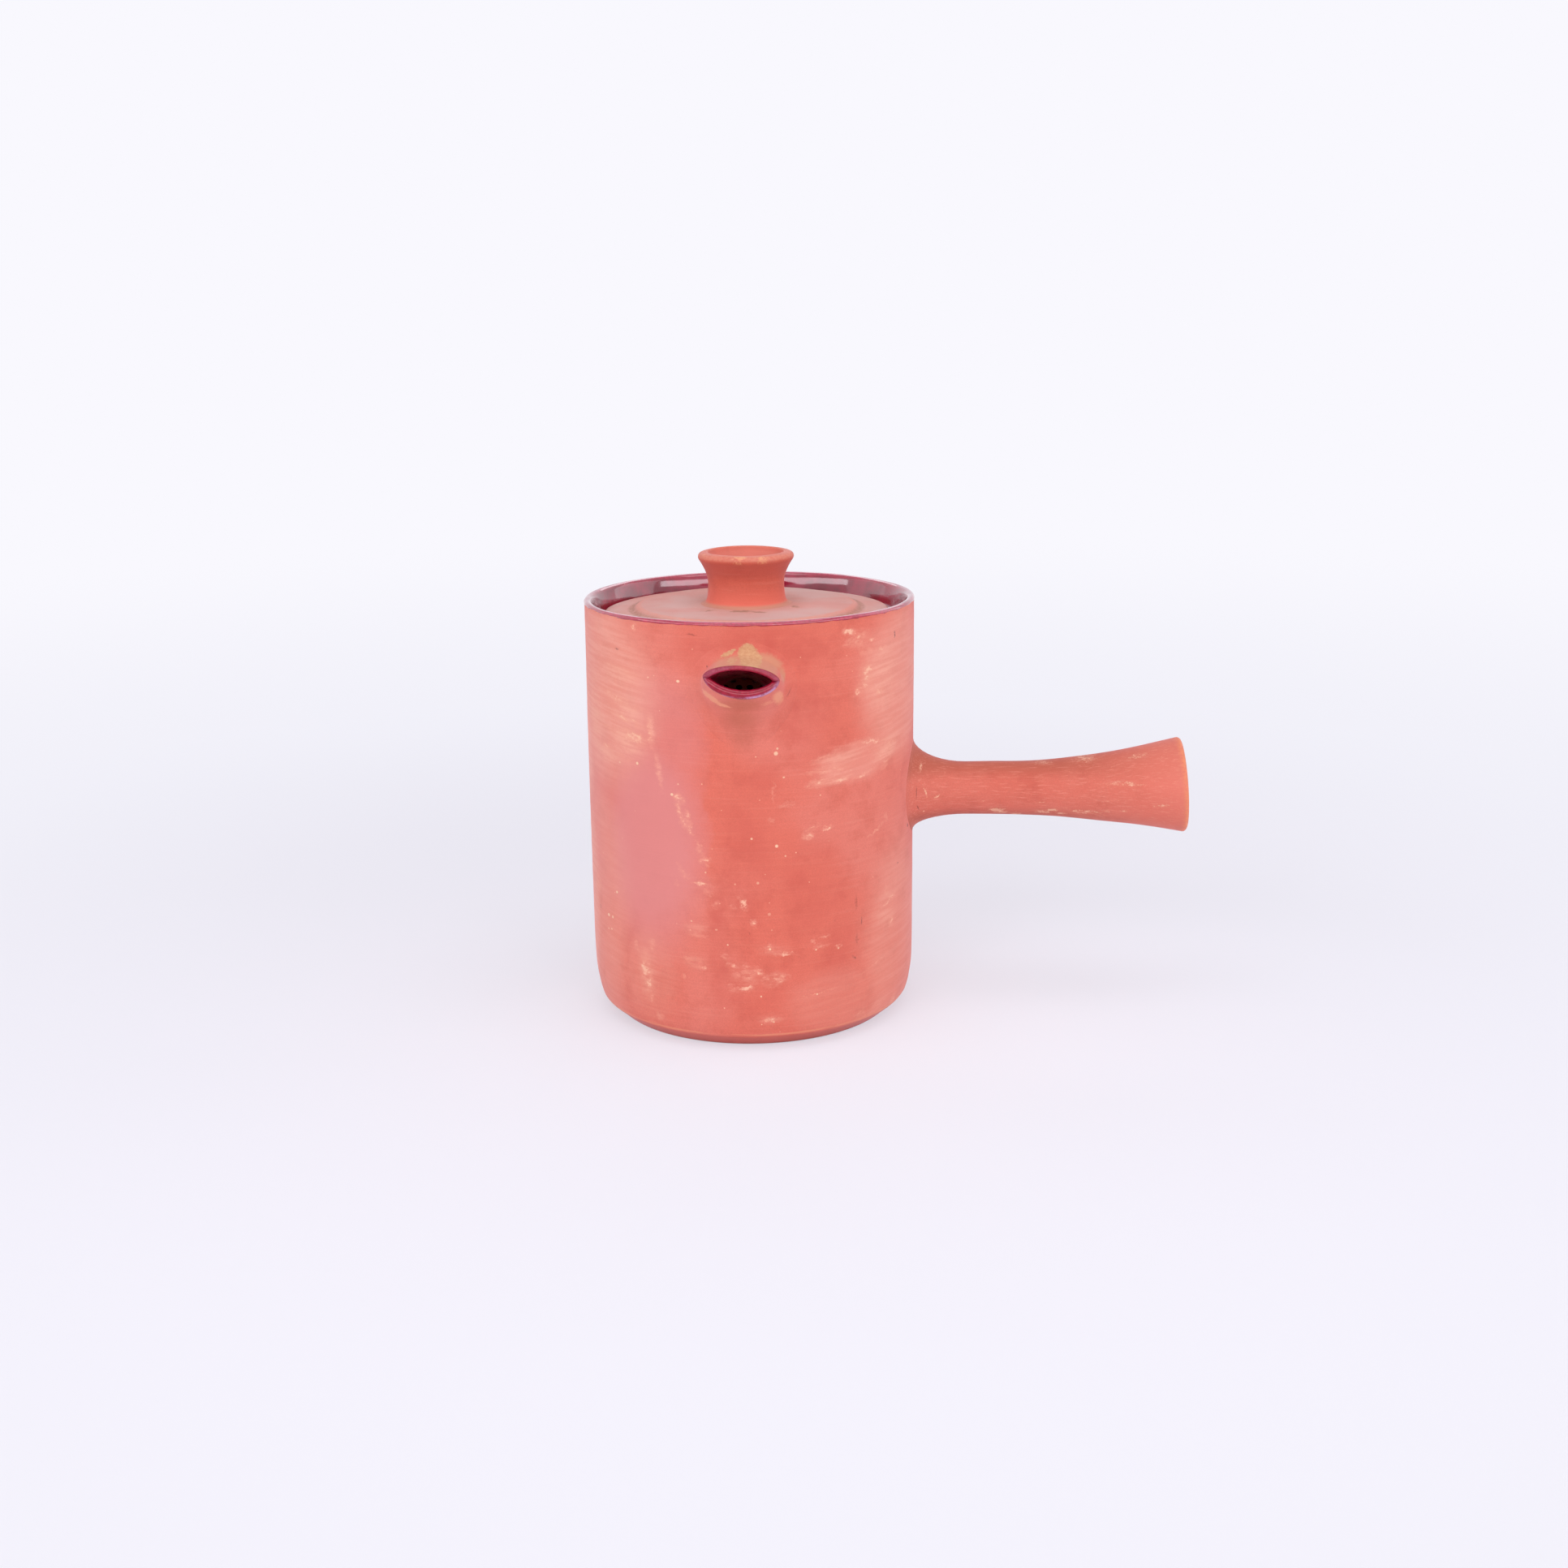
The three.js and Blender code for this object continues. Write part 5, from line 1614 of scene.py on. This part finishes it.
# %% Scatter the specks
SPECKS = [
    (-22.5, 131.4, 0.8, 0.6, 0, 1.0),
    (-34.4, 131.7, 0.4, 0.3, 0, 0.8),
    (-40.3, 101.0, 0.7, 0.7, 0, 1.0),
    (-49.4, 99.9, 0.6, 0.4, 0, 0.6),
    (-25.8, 91.9, 0.7, 0.6, 0, 1.1),
    (-23.3, 95.8, 0.4, 0.4, 0, 0.6),
    (-14.6, 96.5, 0.3, 0.3, 0, 0.7),
    (2.1, 77.7, 0.5, 0.5, 0, 0.9),
    (10.6, 74.8, 0.7, 0.7, 0, 1.0),
    (13.6, 71.1, 0.4, 0.4, 0, 0.8),
    (17.3, 72.0, 0.3, 0.3, 0, 0.7),
    (10.7, 107.2, 0.9, 0.9, 0, 0.9),
    (11.2, 108.9, 0.5, 0.5, 0, 0.8),
    (3.9, 106.3, 0.3, 0.3, 0, 0.7),
    (13.3, 98.8, 0.5, 0.4, 0, 0.8),
    (26.3, 91.4, 0.3, 0.3, 0, 0.8),
    (4.0, 61.9, 0.6, 0.6, 0, 0.5),
    (7.8, 50.6, 0.7, 0.7, 0, 0.35),
    (-3.8, 61.5, 0.4, 0.4, 0, 0.4),
    (-14.0, 65.3, 0.4, 0.4, 0, 0.7),
    (-53.4, 51.8, 0.7, 0.6, 0, 1.0),
    (-17.0, 142.6, 0.4, 0.4, 0, 0.3),
    (-19.5, 47.4, 0.4, 0.4, 0, 0.7),
    (8.6, 44.8, 0.4, 0.4, 0, 0.3),
    (7.9, 37.9, 0.5, 0.5, 0, 1.0),
    (24.3, 36.2, 0.4, 0.4, 0, 1.0),
    (24.7, 19.7, 0.4, 0.4, 0, 1.0),
    (4.6, 20.7, 0.4, 0.4, 0, 1.0),
    (4.7, 10.0, 0.3, 0.3, 0, 0.9),
    (-8.3, 16.3, 0.3, 0.3, 0, 0.8),
    (-6.7, 39.6, 0.4, 0.4, 0, 0.8),
    (-60.1, 41.6, 1.0, 0.7, 0, 1.0),
    (-57.0, 41.6, 0.7, 0.7, 0, 0.9),
    (-58.1, 36.8, 0.7, 0.4, 0, 0.8),
    (-60.6, 36.3, 0.6, 0.4, 0, 0.7),
    (22.0, 61.0, 0.3, 0.3, 0, 0.5),
    (33.1, 35.3, 0.4, 0.4, 0, 0.8),
    (9.0, 10.7, 0.4, 0.4, 0, 0.8),
    (-10.6, 44.9, 0.6, 0.4, 0, 0.4),
]
specks = ovals(tree, sheet, SPECKS, 0.5)
sprinkle_wires = {"Vector": sheet, "Scale": 0.17, "Randomness": 1.0}
sprinkle = wire(tree, "ShaderNodeTexVoronoi", sprinkle_wires).outputs["Distance"]
tiny = sums(tree, "MULTIPLY", remap(tree, sprinkle, 0.05, 0.02), 0.5)
colour = blend(tree, sums(tree, "MAXIMUM", specks, tiny), colour, chip(244, 198, 164))
print(len(SPECKS), "specks")

# %% Cut the dark marks
DARK_MARKS = [
    (-49.4, 139.7, 1.6, 0.3, -4, 0.5),
    (-17.3, 147.5, 2.6, 0.4, -8, 0.4),
    (62.0, 142.4, 0.6, 1.5, 0, 1.0),
    (-11.6, 137.5, 0.5, 0.4, 0, 1.0),
    (15.1, 128.2, 0.3, 2.5, -35, 0.5),
    (43.4, 43.4, 0.3, 1.9, 0, 0.9),
    (40.9, 50.5, 0.8, 3.7, 0, 0.3),
    (41.2, 37.0, 0.7, 3.0, 0, 0.35),
    (39.9, 30.5, 1.5, 0.4, -50, 0.6),
    (33.3, 28.0, 0.4, 0.3, 0, 0.4),
    (-68.2, 42.5, 0.7, 1.0, 0, 0.6),
    (75.5, 70.4, 1.1, 1.0, -60, 1.0),
    (31.6, 45.6, 0.7, 0.4, 0, 0.3),
    (65.3, 59.3, 0.7, 0.5, 0, 0.7),
    (0.8, 43.9, 0.3, 0.7, 0, 0.4),
]
darks = ovals(tree, near_spout, DARK_MARKS, 0.8)
dark_share = sums(tree, "MULTIPLY", darks, remap(tree, fine, 0.38, 0.56, 0.25, 0.95))
colour = blend(tree, dark_share, colour, chip(112, 42, 36))
print(len(DARK_MARKS), "dark marks")

# %% Line and shade the foot, and finish the wall
# A thin pale line runs along the edge of the foot, and the bevel under it, which faces the floor,
# gets painted shade
foot_off = sums(tree, "ABSOLUTE", sums(tree, "SUBTRACT", parts[2], FOOT_EDGE_HEIGHT - 0.1))
foot_edge_line = remap(tree, foot_off, 0.7, 0.1)
foot_edge_share = sums(tree, "MULTIPLY", foot_edge_line, remap(tree, flow, 0.4, 0.58, 0.08, 0.62))
foot_shade = remap(tree, parts[2], FOOT_EDGE_HEIGHT - 0.2, FOOT_EDGE_HEIGHT - 1.6, 0, 0.7)
colour = blend(tree, foot_shade, colour, chip(190, 88, 72))
colour = blend(tree, foot_edge_share, colour, chip(232, 160, 122))
for layer, height in ((slip, 1.0), (specks, 1.2), (darks, -2.0)):
    relief = sums(tree, "ADD", relief, sums(tree, "MULTIPLY", layer, height))
finish_clay(tree, output, colour, relief)
print("wall clay", len(tree.nodes), "nodes")

# %% [markdown]
# ## Handle
# The top and the underside of the handle are darker, most towards the wall: painted shade.
# A hand has rubbed its lower side, where short pale scratches run along it. Its open end is
# worn to a pale orange line. Along the handle is the X axis, so the lines of its wheel run
# round X.

# %% Mix the handle's ground colour
handle_material, tree, output = new_material("handle clay")
place = place_in_mm(tree)
parts = wire(tree, "ShaderNodeSeparateXYZ", {0: place}).outputs
lines = stretch(tree, place, (0.06, 0.3, 0.3))
colour, relief = clay_tints(
    tree, place, lines, chip(216, 116, 98), chip(211, 106, 88), chip(194, 90, 72)
)
along = sums(tree, "SUBTRACT", parts[0], BELLY_RADIUS)
above = sums(tree, "SUBTRACT", parts[2], HANDLE_HEIGHT)
fine = clouds(tree, stretch(tree, place, (0.7, 1.2, 1.2)), 1.0, 6, 0.78)
flow = clouds(tree, stretch(tree, place, (0.14, 1.4, 1.6)), 1.0, 5, 0.7)
# Painted shade on the top and the underside, strongest near the wall
top_shade = remap(tree, above, 4.5, 10.5, 0, 0.7)
low_shade = remap(tree, above, -4.5, -9.5, 0, 0.6)
near_waist = remap(tree, along, 80, 40, 0.35, 1)
painted_shade = sums(tree, "MULTIPLY", sums(tree, "MAXIMUM", top_shade, low_shade), near_waist)
colour = blend(tree, painted_shade, colour, chip(176, 92, 70))
colour = blend(tree, remap(tree, along, 62, 94, 0, 0.55), colour, chip(232, 130, 112))
print("handle's ground colour,", len(tree.nodes), "nodes")

# %% Scratch the handle
# Along, above the middle, half length, half height, turn and strength
HANDLE_SCRATCHES = [
    (30, -6.6, 5.5, 1.6, -6, 0.9),
    (47, -7.0, 5.0, 1.3, 0, 0.7),
    (62, -6.4, 9.0, 1.5, 0, 0.6),
    (74, 5.0, 12.0, 1.4, 3, 0.5),
    (32, -7.6, 5.0, 0.9, 0, 0.8),
    (37, -8.6, 3.4, 0.9, 4, 0.9),
    (30, -5.6, 5.0, 0.5, 0, 0.5),
    (25, -2.6, 3.2, 0.4, 16, 0.6),
    (45, -3.0, 5.0, 0.5, 4, 0.45),
    (50, -6.0, 3.4, 1.0, 4, 0.9),
    (53, -7.6, 3.0, 0.8, 0, 0.7),
    (58, -6.4, 2.2, 0.9, 0, 0.6),
    (64, -6.0, 2.4, 0.9, 0, 0.6),
    (69, -5.8, 2.2, 1.0, 0, 0.7),
    (75, -5.4, 2.4, 0.9, 0, 0.55),
    (70, -1.4, 6.0, 0.5, 6, 0.45),
    (88, -2.6, 4.6, 1.0, 8, 0.6),
    (78, 4.6, 7.0, 0.8, 0, 0.45),
    (62, 11.6, 7.5, 1.2, 6, 0.6),
    (47, 10.0, 5.0, 0.8, 2, 0.5),
    (80, 13.6, 7.0, 0.9, 12, 0.5),
    (4.0, 1.0, 0.7, 4.0, 16, 0.75),
    (8.0, -0.6, 3.0, 0.7, 24, 0.7),
    (2.2, 10.0, 0.9, 2.4, 0, 0.7),
    (3.4, -6.4, 0.6, 0.6, 0, 0.8),
    (3.6, -11.4, 1.6, 0.8, 40, 0.6),
]
side_wires = {0: along, 1: above, 2: 0.0}
side = wire(tree, "ShaderNodeCombineXYZ", side_wires).outputs[0]
strayed = strayed_place(tree, side, 0.6, (1.2, 0.6, 0))
scratch_mask = ovals(tree, strayed, HANDLE_SCRATCHES, 0.95)
soft_scratches = sums(tree, "MULTIPLY", scratch_mask, 0.45)
colour = blend(tree, soft_scratches, colour, chip(230, 142, 114))
scratches = broken(tree, scratch_mask, fine, 3.0, 0.34, 0.8)
colour = blend(tree, sums(tree, "MULTIPLY", scratches, 0.9), colour, chip(240, 188, 156))
print(len(HANDLE_SCRATCHES), "scratches")

# %% Dust and crack the handle, and wear its end
HANDLE_CRACKS = [
    (1.4, -13.4, 0.5, 1.8, -14, 1.0),
    (1.2, -4.4, 0.3, 1.4, 20, 0.6),
    (0.6, 1.5, 0.25, 3.0, 0, 0.5),
]
dusty = sums(tree, "MULTIPLY", remap(tree, flow, 0.5, 0.68), 0.34)
colour = blend(tree, dusty, colour, chip(236, 160, 138))
tilted = sums(tree, "ADD", along, sums(tree, "MULTIPLY", above, HANDLE_TILT))
end_line = remap(tree, tilted, HANDLE_REACH - 3.2, HANDLE_REACH - 0.9)
end_share = sums(tree, "MULTIPLY", end_line, remap(tree, fine, 0.4, 0.56, 0.25, 0.85))
colour = blend(tree, end_share, colour, chip(236, 146, 104))
cracks = ovals(tree, side, HANDLE_CRACKS, 0.7)
in_front = remap(tree, parts[1], -2, -6)
cracks = sums(tree, "MULTIPLY", cracks, in_front)
colour = blend(tree, sums(tree, "MULTIPLY", cracks, 0.85), colour, chip(120, 44, 40))
for layer, height in ((scratches, -0.7), (cracks, -2.0)):
    relief = sums(tree, "ADD", relief, sums(tree, "MULTIPLY", layer, height))
finish_clay(tree, output, colour, relief)
print("handle clay", len(tree.nodes), "nodes")

# %% [markdown]
# ## Lid and knob
# Dust settles on the lid and dulls it to mauve, thickest in the step and in front of the
# knob's foot, where fingers don't reach. The step also gets painted shade, and its crest a
# painted highlight. The clay stays orange where the knob shelters it. Rings round the lid's
# own axis carry all of this, so distance from that axis is the ruler.


# %% Mix the lid's ground colour
def from_lid_axis(tree, place):
    """Place measured from the lid's axis, and the distance from it, in millimetres."""
    wires = {0: place, 1: (LID_CENTRE, 0, 0)}
    centred = wire(tree, "ShaderNodeVectorMath", wires, operation="SUBTRACT").outputs[0]
    flat = stretch(tree, centred, (1, 1, 0))
    away = wire(tree, "ShaderNodeVectorMath", {0: flat}, operation="LENGTH").outputs[1]
    return centred, away


lid_material, tree, output = new_material("lid clay")
place = place_in_mm(tree)
centred, away = from_lid_axis(tree, place)
rings_wires = {0: away, 1: 0.0, 2: 0.0}
rings = wire(tree, "ShaderNodeCombineXYZ", rings_wires).outputs[0]
ring_lines = stretch(tree, rings, (1.1, 1, 1))
colour, relief = clay_tints(
    tree, place, ring_lines, chip(219, 128, 110), chip(216, 116, 94), chip(198, 96, 76)
)
print("lid's ground colour,", len(tree.nodes), "nodes")

# %% Let the dust settle
fine = clouds(tree, place, 0.7, 6, 0.76)
broad = clouds(tree, place, 0.05, 3, 0.5)
facing_up = wire(tree, "ShaderNodeNewGeometry").outputs["Normal"]
up_share = wire(tree, "ShaderNodeSeparateXYZ", {0: facing_up}).outputs[2]
dust_patches = remap(tree, broad, 0.3, 0.66, 0.5, 0.9)
in_patches = remap(tree, fine, 0.38, 0.58, 0.35, 0.85)
dust = sums(tree, "MULTIPLY", remap(tree, up_share, 0.3, 0.95), dust_patches)
sheltered = remap(tree, away, 12.2, 15.5, 0.3, 1)
dust = sums(tree, "MULTIPLY", dust, sheltered)
colour = blend(tree, dust, colour, chip(213, 174, 165))
near_foot = sums(tree, "MULTIPLY", remap(tree, away, 26, 14), in_patches)
colour = blend(tree, sums(tree, "MULTIPLY", near_foot, 0.45), colour, chip(188, 136, 110))
print("dust on the lid,", len(tree.nodes), "nodes")

# %% Mark the step of the lid
# Dust and painted shade in the step, and a painted highlight along its crest
off_step = sums(tree, "ABSOLUTE", sums(tree, "SUBTRACT", away, LID_MIDDLE + 1.9))
step_dust_and_shade = sums(tree, "MULTIPLY", remap(tree, off_step, 2.0, 0.3), in_patches)
colour = blend(tree, step_dust_and_shade, colour, chip(170, 118, 96))
crest = sums(tree, "ABSOLUTE", sums(tree, "SUBTRACT", away, LID_MIDDLE - 0.6))
step_crest_highlight = sums(tree, "MULTIPLY", remap(tree, crest, 1.6, 0.2), in_patches)
colour = blend(tree, sums(tree, "MULTIPLY", step_crest_highlight, 0.7), colour, chip(226, 142, 122))
print("step at", round(LID_MIDDLE, 1), "mm from the lid's axis")

# %% Leave grime by the knob and finish the lid
LID_SHEEN = 0.12
# Across, back, half width, half depth, turn and strength
GRIME_SPOTS = [
    (-1.0, -19.0, 9.0, 4.4, 0, 1.0),
    (5.0, -21.0, 6.0, 2.6, -12, 1.0),
    (-13, -17.5, 6, 3.0, 30, 0.7),
    (17.5, -9, 2.6, 7, 10, 0.8),
    (0, -25, 20, 5.0, 0, 0.35),
]
flat_place = stretch(tree, centred, (1, 1, 0))
grime_place = strayed_place(tree, flat_place, 0.4, (2.4, 1.4, 0))
grime_mask = ovals(tree, grime_place, GRIME_SPOTS, 0.9)
haze_of_grime = sums(tree, "MULTIPLY", grime_mask, 0.3)
colour = blend(tree, haze_of_grime, colour, chip(186, 134, 106))
grime = broken(tree, grime_mask, fine, 2.4, 0.4, 1.0)
colour = blend(tree, sums(tree, "MULTIPLY", grime, 0.75), colour, chip(152, 108, 80))
at_edge = remap(tree, away, LID_RADIUS - 1.8, LID_RADIUS - 0.4)
colour = blend(tree, sums(tree, "MULTIPLY", at_edge, in_patches), colour, chip(180, 120, 98))
sprinkle_wires = {"Vector": place, "Scale": 0.2}
sprinkle = wire(tree, "ShaderNodeTexVoronoi", sprinkle_wires).outputs["Distance"]
dots = sums(tree, "MULTIPLY", remap(tree, sprinkle, 0.07, 0.03), 0.6)
colour = blend(tree, dots, colour, chip(236, 200, 180))
finish_clay(tree, output, colour, relief, LID_SHEEN)
print("lid clay", len(tree.nodes), "nodes")

# %% Mix the knob's clay
knob_material, tree, output = new_material("knob clay")
place = place_in_mm(tree)
centred, away = from_lid_axis(tree, place)
parts = wire(tree, "ShaderNodeSeparateXYZ", {0: centred}).outputs
lines = stretch(tree, place, (0.06, 0.06, 1.1))
colour, relief = clay_tints(
    tree, place, lines, chip(221, 116, 97), chip(217, 106, 86), chip(198, 90, 72)
)
fine = clouds(tree, place, 0.8, 6, 0.76)
rise = sums(tree, "SUBTRACT", parts[2], LID_TOP)
neck_glow = remap(tree, rise, 8.0, 2.5, 0, 0.6)
colour = blend(tree, neck_glow, colour, chip(233, 118, 98))
colour = blend(tree, remap(tree, rise, 1.5, 0.3, 0, 0.8), colour, chip(196, 146, 122))
# Painted shade under the flaring lip
shade_under_lip = remap(tree, rise, 8.5, 12.5, 0, 0.45)
shade_under_lip = sums(tree, "MULTIPLY", shade_under_lip, remap(tree, rise, 16.8, 15.2))
colour = blend(tree, shade_under_lip, colour, chip(196, 96, 84))
inside = remap(tree, away, KNOB_MOUTH + 0.3, KNOB_MOUTH - 0.5)
inside = sums(tree, "MULTIPLY", inside, remap(tree, rise, 5, 6))
colour = blend(tree, sums(tree, "MULTIPLY", inside, 0.65), colour, chip(224, 140, 124))
on_lip = remap(tree, rise, 16.4, 17.4)
on_lip = sums(tree, "MULTIPLY", on_lip, remap(tree, away, KNOB_MOUTH - 0.2, KNOB_MOUTH + 0.4))
lip_worn = sums(tree, "MULTIPLY", on_lip, remap(tree, fine, 0.36, 0.6, 0.3, 0.7))
colour = blend(tree, lip_worn, colour, chip(228, 148, 124))
print("knob's tones,", len(tree.nodes), "nodes")

# %% Rub the knob's lip
LIP_RUBS = [
    (-1.5, -16.0, 5.0, 2.4, 0, 1.0),
    (6.5, -15.2, 4.6, 2.4, 20, 0.9),
    (-14, -8, 2.0, 5, 20, 0.6),
    (4, 16, 5, 2.0, 0, 0.7),
]
rub_mask = ovals(tree, stretch(tree, centred, (1, 1, 0)), LIP_RUBS, 0.95)
rubs = broken(tree, rub_mask, fine, 2.4, 0.5, 1.0)
rubs = sums(tree, "MULTIPLY", rubs, remap(tree, rise, 15.6, 16.6))
colour = blend(tree, sums(tree, "MULTIPLY", rubs, 0.7), colour, chip(238, 172, 128))
finish_clay(tree, output, colour, relief)
print("knob clay", len(tree.nodes), "nodes")

# %% [markdown]
# ## Strainer's clay
# The strainer's dark brown tints are painted shade, for it sits deep inside behind the
# spout's hole. It has no marks of its own, because it is seen only with the lid off, so the
# plain recipe with darker tints is enough.

# %% Mix the strainer's clay
strainer_material, tree, output = new_material("strainer clay")
place = place_in_mm(tree)
lines = stretch(tree, place, (0.5, 0.5, 0.5))
# Dark brown tints: painted shade deep inside the pot
colour, relief = clay_tints(
    tree, place, lines, chip(162, 84, 66), chip(146, 70, 54), chip(112, 50, 40)
)
finish_clay(tree, output, colour, relief)
print("strainer clay", len(tree.nodes), "nodes")

# %% [markdown]
# ## Plum glaze
# The glaze is a clear wet red over orange clay. Where it thins, on the rim's outer edge
# and on the spout's lips, it turns crimson, and where it pools inside it goes to dark plum.
# A glossy coat does the shine, small waves in it bend the reflections, and a few pinholes
# break it. Thickness could be simulated, but a mix by place is steadier and cheaper.


# %% Choose the glaze's tints
PLUM = [chip(126, 12, 42), chip(160, 20, 56)]
CRIMSON = [chip(144, 10, 40), chip(164, 20, 50)]
ROSE = [chip(160, 10, 50), chip(184, 18, 62)]
LILAC_HIGHLIGHT = chip(196, 148, 190)
PINHOLE = chip(214, 130, 120)
print("four glaze tints and one for pinholes")

# %% Recipe for the glaze
GLAZE_ROUGHNESS = 0.1
GLAZE_IOR = 1.62
COAT_ROUGHNESS = 0.05
WAVE_HEIGHT = 1.6
PINHOLE_DEPTH = 0.2
FINE_HEIGHT = 0.004
WAVE_DISTANCE = 0.0006


def plum_glaze(name, thin_tints, thin_share, highlight_share, coat, shine):
    """A glossy plum material: two functions say where the coat is thin and where a lilac highlight
    is painted.
    """
    material, tree, output = new_material(name)
    place = place_in_mm(tree)
    parts = wire(tree, "ShaderNodeSeparateXYZ", {0: place}).outputs
    pools = clouds(tree, place, 0.09, 3, 0.55)
    fine = clouds(tree, place, 0.8, 4, 0.6)
    colour = blend(tree, remap(tree, pools, 0.36, 0.64), *PLUM)
    thin = thin_share(tree, place, parts)
    thin_tint = blend(tree, remap(tree, fine, 0.4, 0.62), *thin_tints)
    colour = blend(tree, thin, colour, thin_tint)
    patchy = remap(tree, fine, 0.35, 0.55, 0.4, 1)
    # Painted lilac highlight
    painted_highlight = sums(tree, "MULTIPLY", highlight_share(tree, place, parts), patchy)
    colour = blend(tree, painted_highlight, colour, LILAC_HIGHLIGHT)
    sprinkle_wires = {"Vector": place, "Scale": 0.16, "Randomness": 1.0}
    sprinkle = wire(tree, "ShaderNodeTexVoronoi", sprinkle_wires).outputs["Distance"]
    holes = remap(tree, sprinkle, 0.05, 0.02)
    colour = blend(tree, sums(tree, "MULTIPLY", holes, 0.6), colour, PINHOLE)
    waves = sums(tree, "MULTIPLY", clouds(tree, place, 0.07, 1, 0.4), WAVE_HEIGHT)
    waves = sums(tree, "ADD", waves, sums(tree, "MULTIPLY", fine, FINE_HEIGHT))
    waves = sums(tree, "ADD", waves, sums(tree, "MULTIPLY", holes, -PINHOLE_DEPTH))
    bump_wires = {"Height": waves, "Strength": RELIEF_STRENGTH, "Distance": WAVE_DISTANCE}
    bump = wire(tree, "ShaderNodeBump", bump_wires)
    rough = remap(tree, fine, 0.3, 0.7, GLAZE_ROUGHNESS - 0.02, GLAZE_ROUGHNESS + 0.05)
    wires = {"Base Color": colour, "Roughness": rough, "Normal": bump.outputs[0]}
    wires.update({"IOR": GLAZE_IOR, "Specular IOR Level": shine})
    wires.update({"Coat Weight": coat, "Coat Roughness": COAT_ROUGHNESS})
    wires["Coat Normal"] = bump.outputs[0]
    shader = wire(tree, "ShaderNodeBsdfPrincipled", wires)
    tree.links.new(shader.outputs[0], output.inputs["Surface"])
    return material


print("glaze recipe ready, roughness", GLAZE_ROUGHNESS)


# %% Say where the glaze is thin
def rim_thinness(tree, place, parts):
    """Thin over the outer edge of the rim."""
    flat = stretch(tree, place, (1, 1, 0))
    radius = wire(tree, "ShaderNodeVectorMath", {0: flat}, operation="LENGTH").outputs[1]
    return remap(tree, radius, RIM_RADIUS - 3.2, RIM_RADIUS - 1.8)


def lip_thinness(tree, place, parts):
    """Thin on the lips, thick in the channel."""
    return remap(tree, parts[1], -BELLY_RADIUS - 7.5, -BELLY_RADIUS - 10.5)


def rim_top_highlight(tree, place, parts):
    """The top of the rim, where a faint lilac highlight is painted."""
    return remap(tree, parts[2], POT_HEIGHT - 0.4, POT_HEIGHT - 0.05, 0, 0.12)


def lip_edge_highlight(tree, place, parts):
    """A lilac highlight painted on the outer edge of the lips, more below than above."""
    middle = (SPOUT_MOUTH["top"] + SPOUT_MOUTH["bottom"]) / 2
    tall = (SPOUT_MOUTH["top"] - SPOUT_MOUTH["bottom"]) / 2
    centred_wires = {0: parts[0], 1: 0.0, 2: sums(tree, "SUBTRACT", parts[2], middle)}
    centred = wire(tree, "ShaderNodeCombineXYZ", centred_wires).outputs[0]
    oval = stretch(tree, centred, (1 / SPOUT_MOUTH["half"], 1, 1 / tall))
    away = wire(tree, "ShaderNodeVectorMath", {0: oval}, operation="LENGTH").outputs[1]
    lower = remap(tree, parts[2], middle + 1, middle - 2, 0.1, 1.0)
    off_middle = sums(tree, "ABSOLUTE", sums(tree, "ADD", parts[0], 0.8))
    beside = remap(tree, off_middle, 1.0, 4.0, 0.25, 1.0)
    lower = sums(tree, "MULTIPLY", lower, beside)
    return sums(tree, "MULTIPLY", remap(tree, away, 0.84, 0.98), lower)


def nowhere(tree, place, parts):
    """Thick all over."""
    return 0.0


print("mouth's middle at", round((SPOUT_MOUTH["top"] + SPOUT_MOUTH["bottom"]) / 2, 1), "mm")

# %% Mix the three glazes
# Tints, where it is thin, where the lilac highlight is painted, weight of the coat and shine under
# the coat
rim_glaze_material = plum_glaze("rim glaze", ROSE, rim_thinness, rim_top_highlight, 0.8, 0.35)
spout_glaze_material = plum_glaze("lip glaze", CRIMSON, lip_thinness, lip_edge_highlight, 0.25, 0.2)
bowl_glaze_material = plum_glaze("bowl glaze", CRIMSON, nowhere, nowhere, 0.5, 0.5)
print("three glazes mixed")

# %% [markdown]
# ## Hand over to the frame
# Each piece says which node it stands for, which body it rides on and which finish of the
# record it has. The lid and its knob ride on the cover, which lifts off, and all the rest
# on the pot.

# %% Dress and seat the pieces
teapot = [
    (pot_clay, "pot_body", "pot", "terracotta", wall_material),
    (spout_clay, "spout", "pot", "terracotta", wall_material),
    (strainer_dome, "strainer", "pot", "terracotta", strainer_material),
    (handle_clay, "side_handle", "pot", "terracotta", handle_material),
    (lid_clay, "lid", "cover", "terracotta", lid_material),
    (knob_clay, "lid_knob", "cover", "terracotta", knob_material),
    (rim_glaze_coat, "rim_glaze", "pot", "plum_glaze", rim_glaze_material),
    (interior_glaze_coat, "interior_glaze", "pot", "plum_glaze", bowl_glaze_material),
    (spout_glaze_coat, "spout_glaze", "pot", "plum_glaze", spout_glaze_material),
]
for piece, node, body, slot, material in teapot:
    piece.data.materials.append(material)
    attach(piece, body)
    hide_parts(node)
print(len(teapot), "pieces dressed")
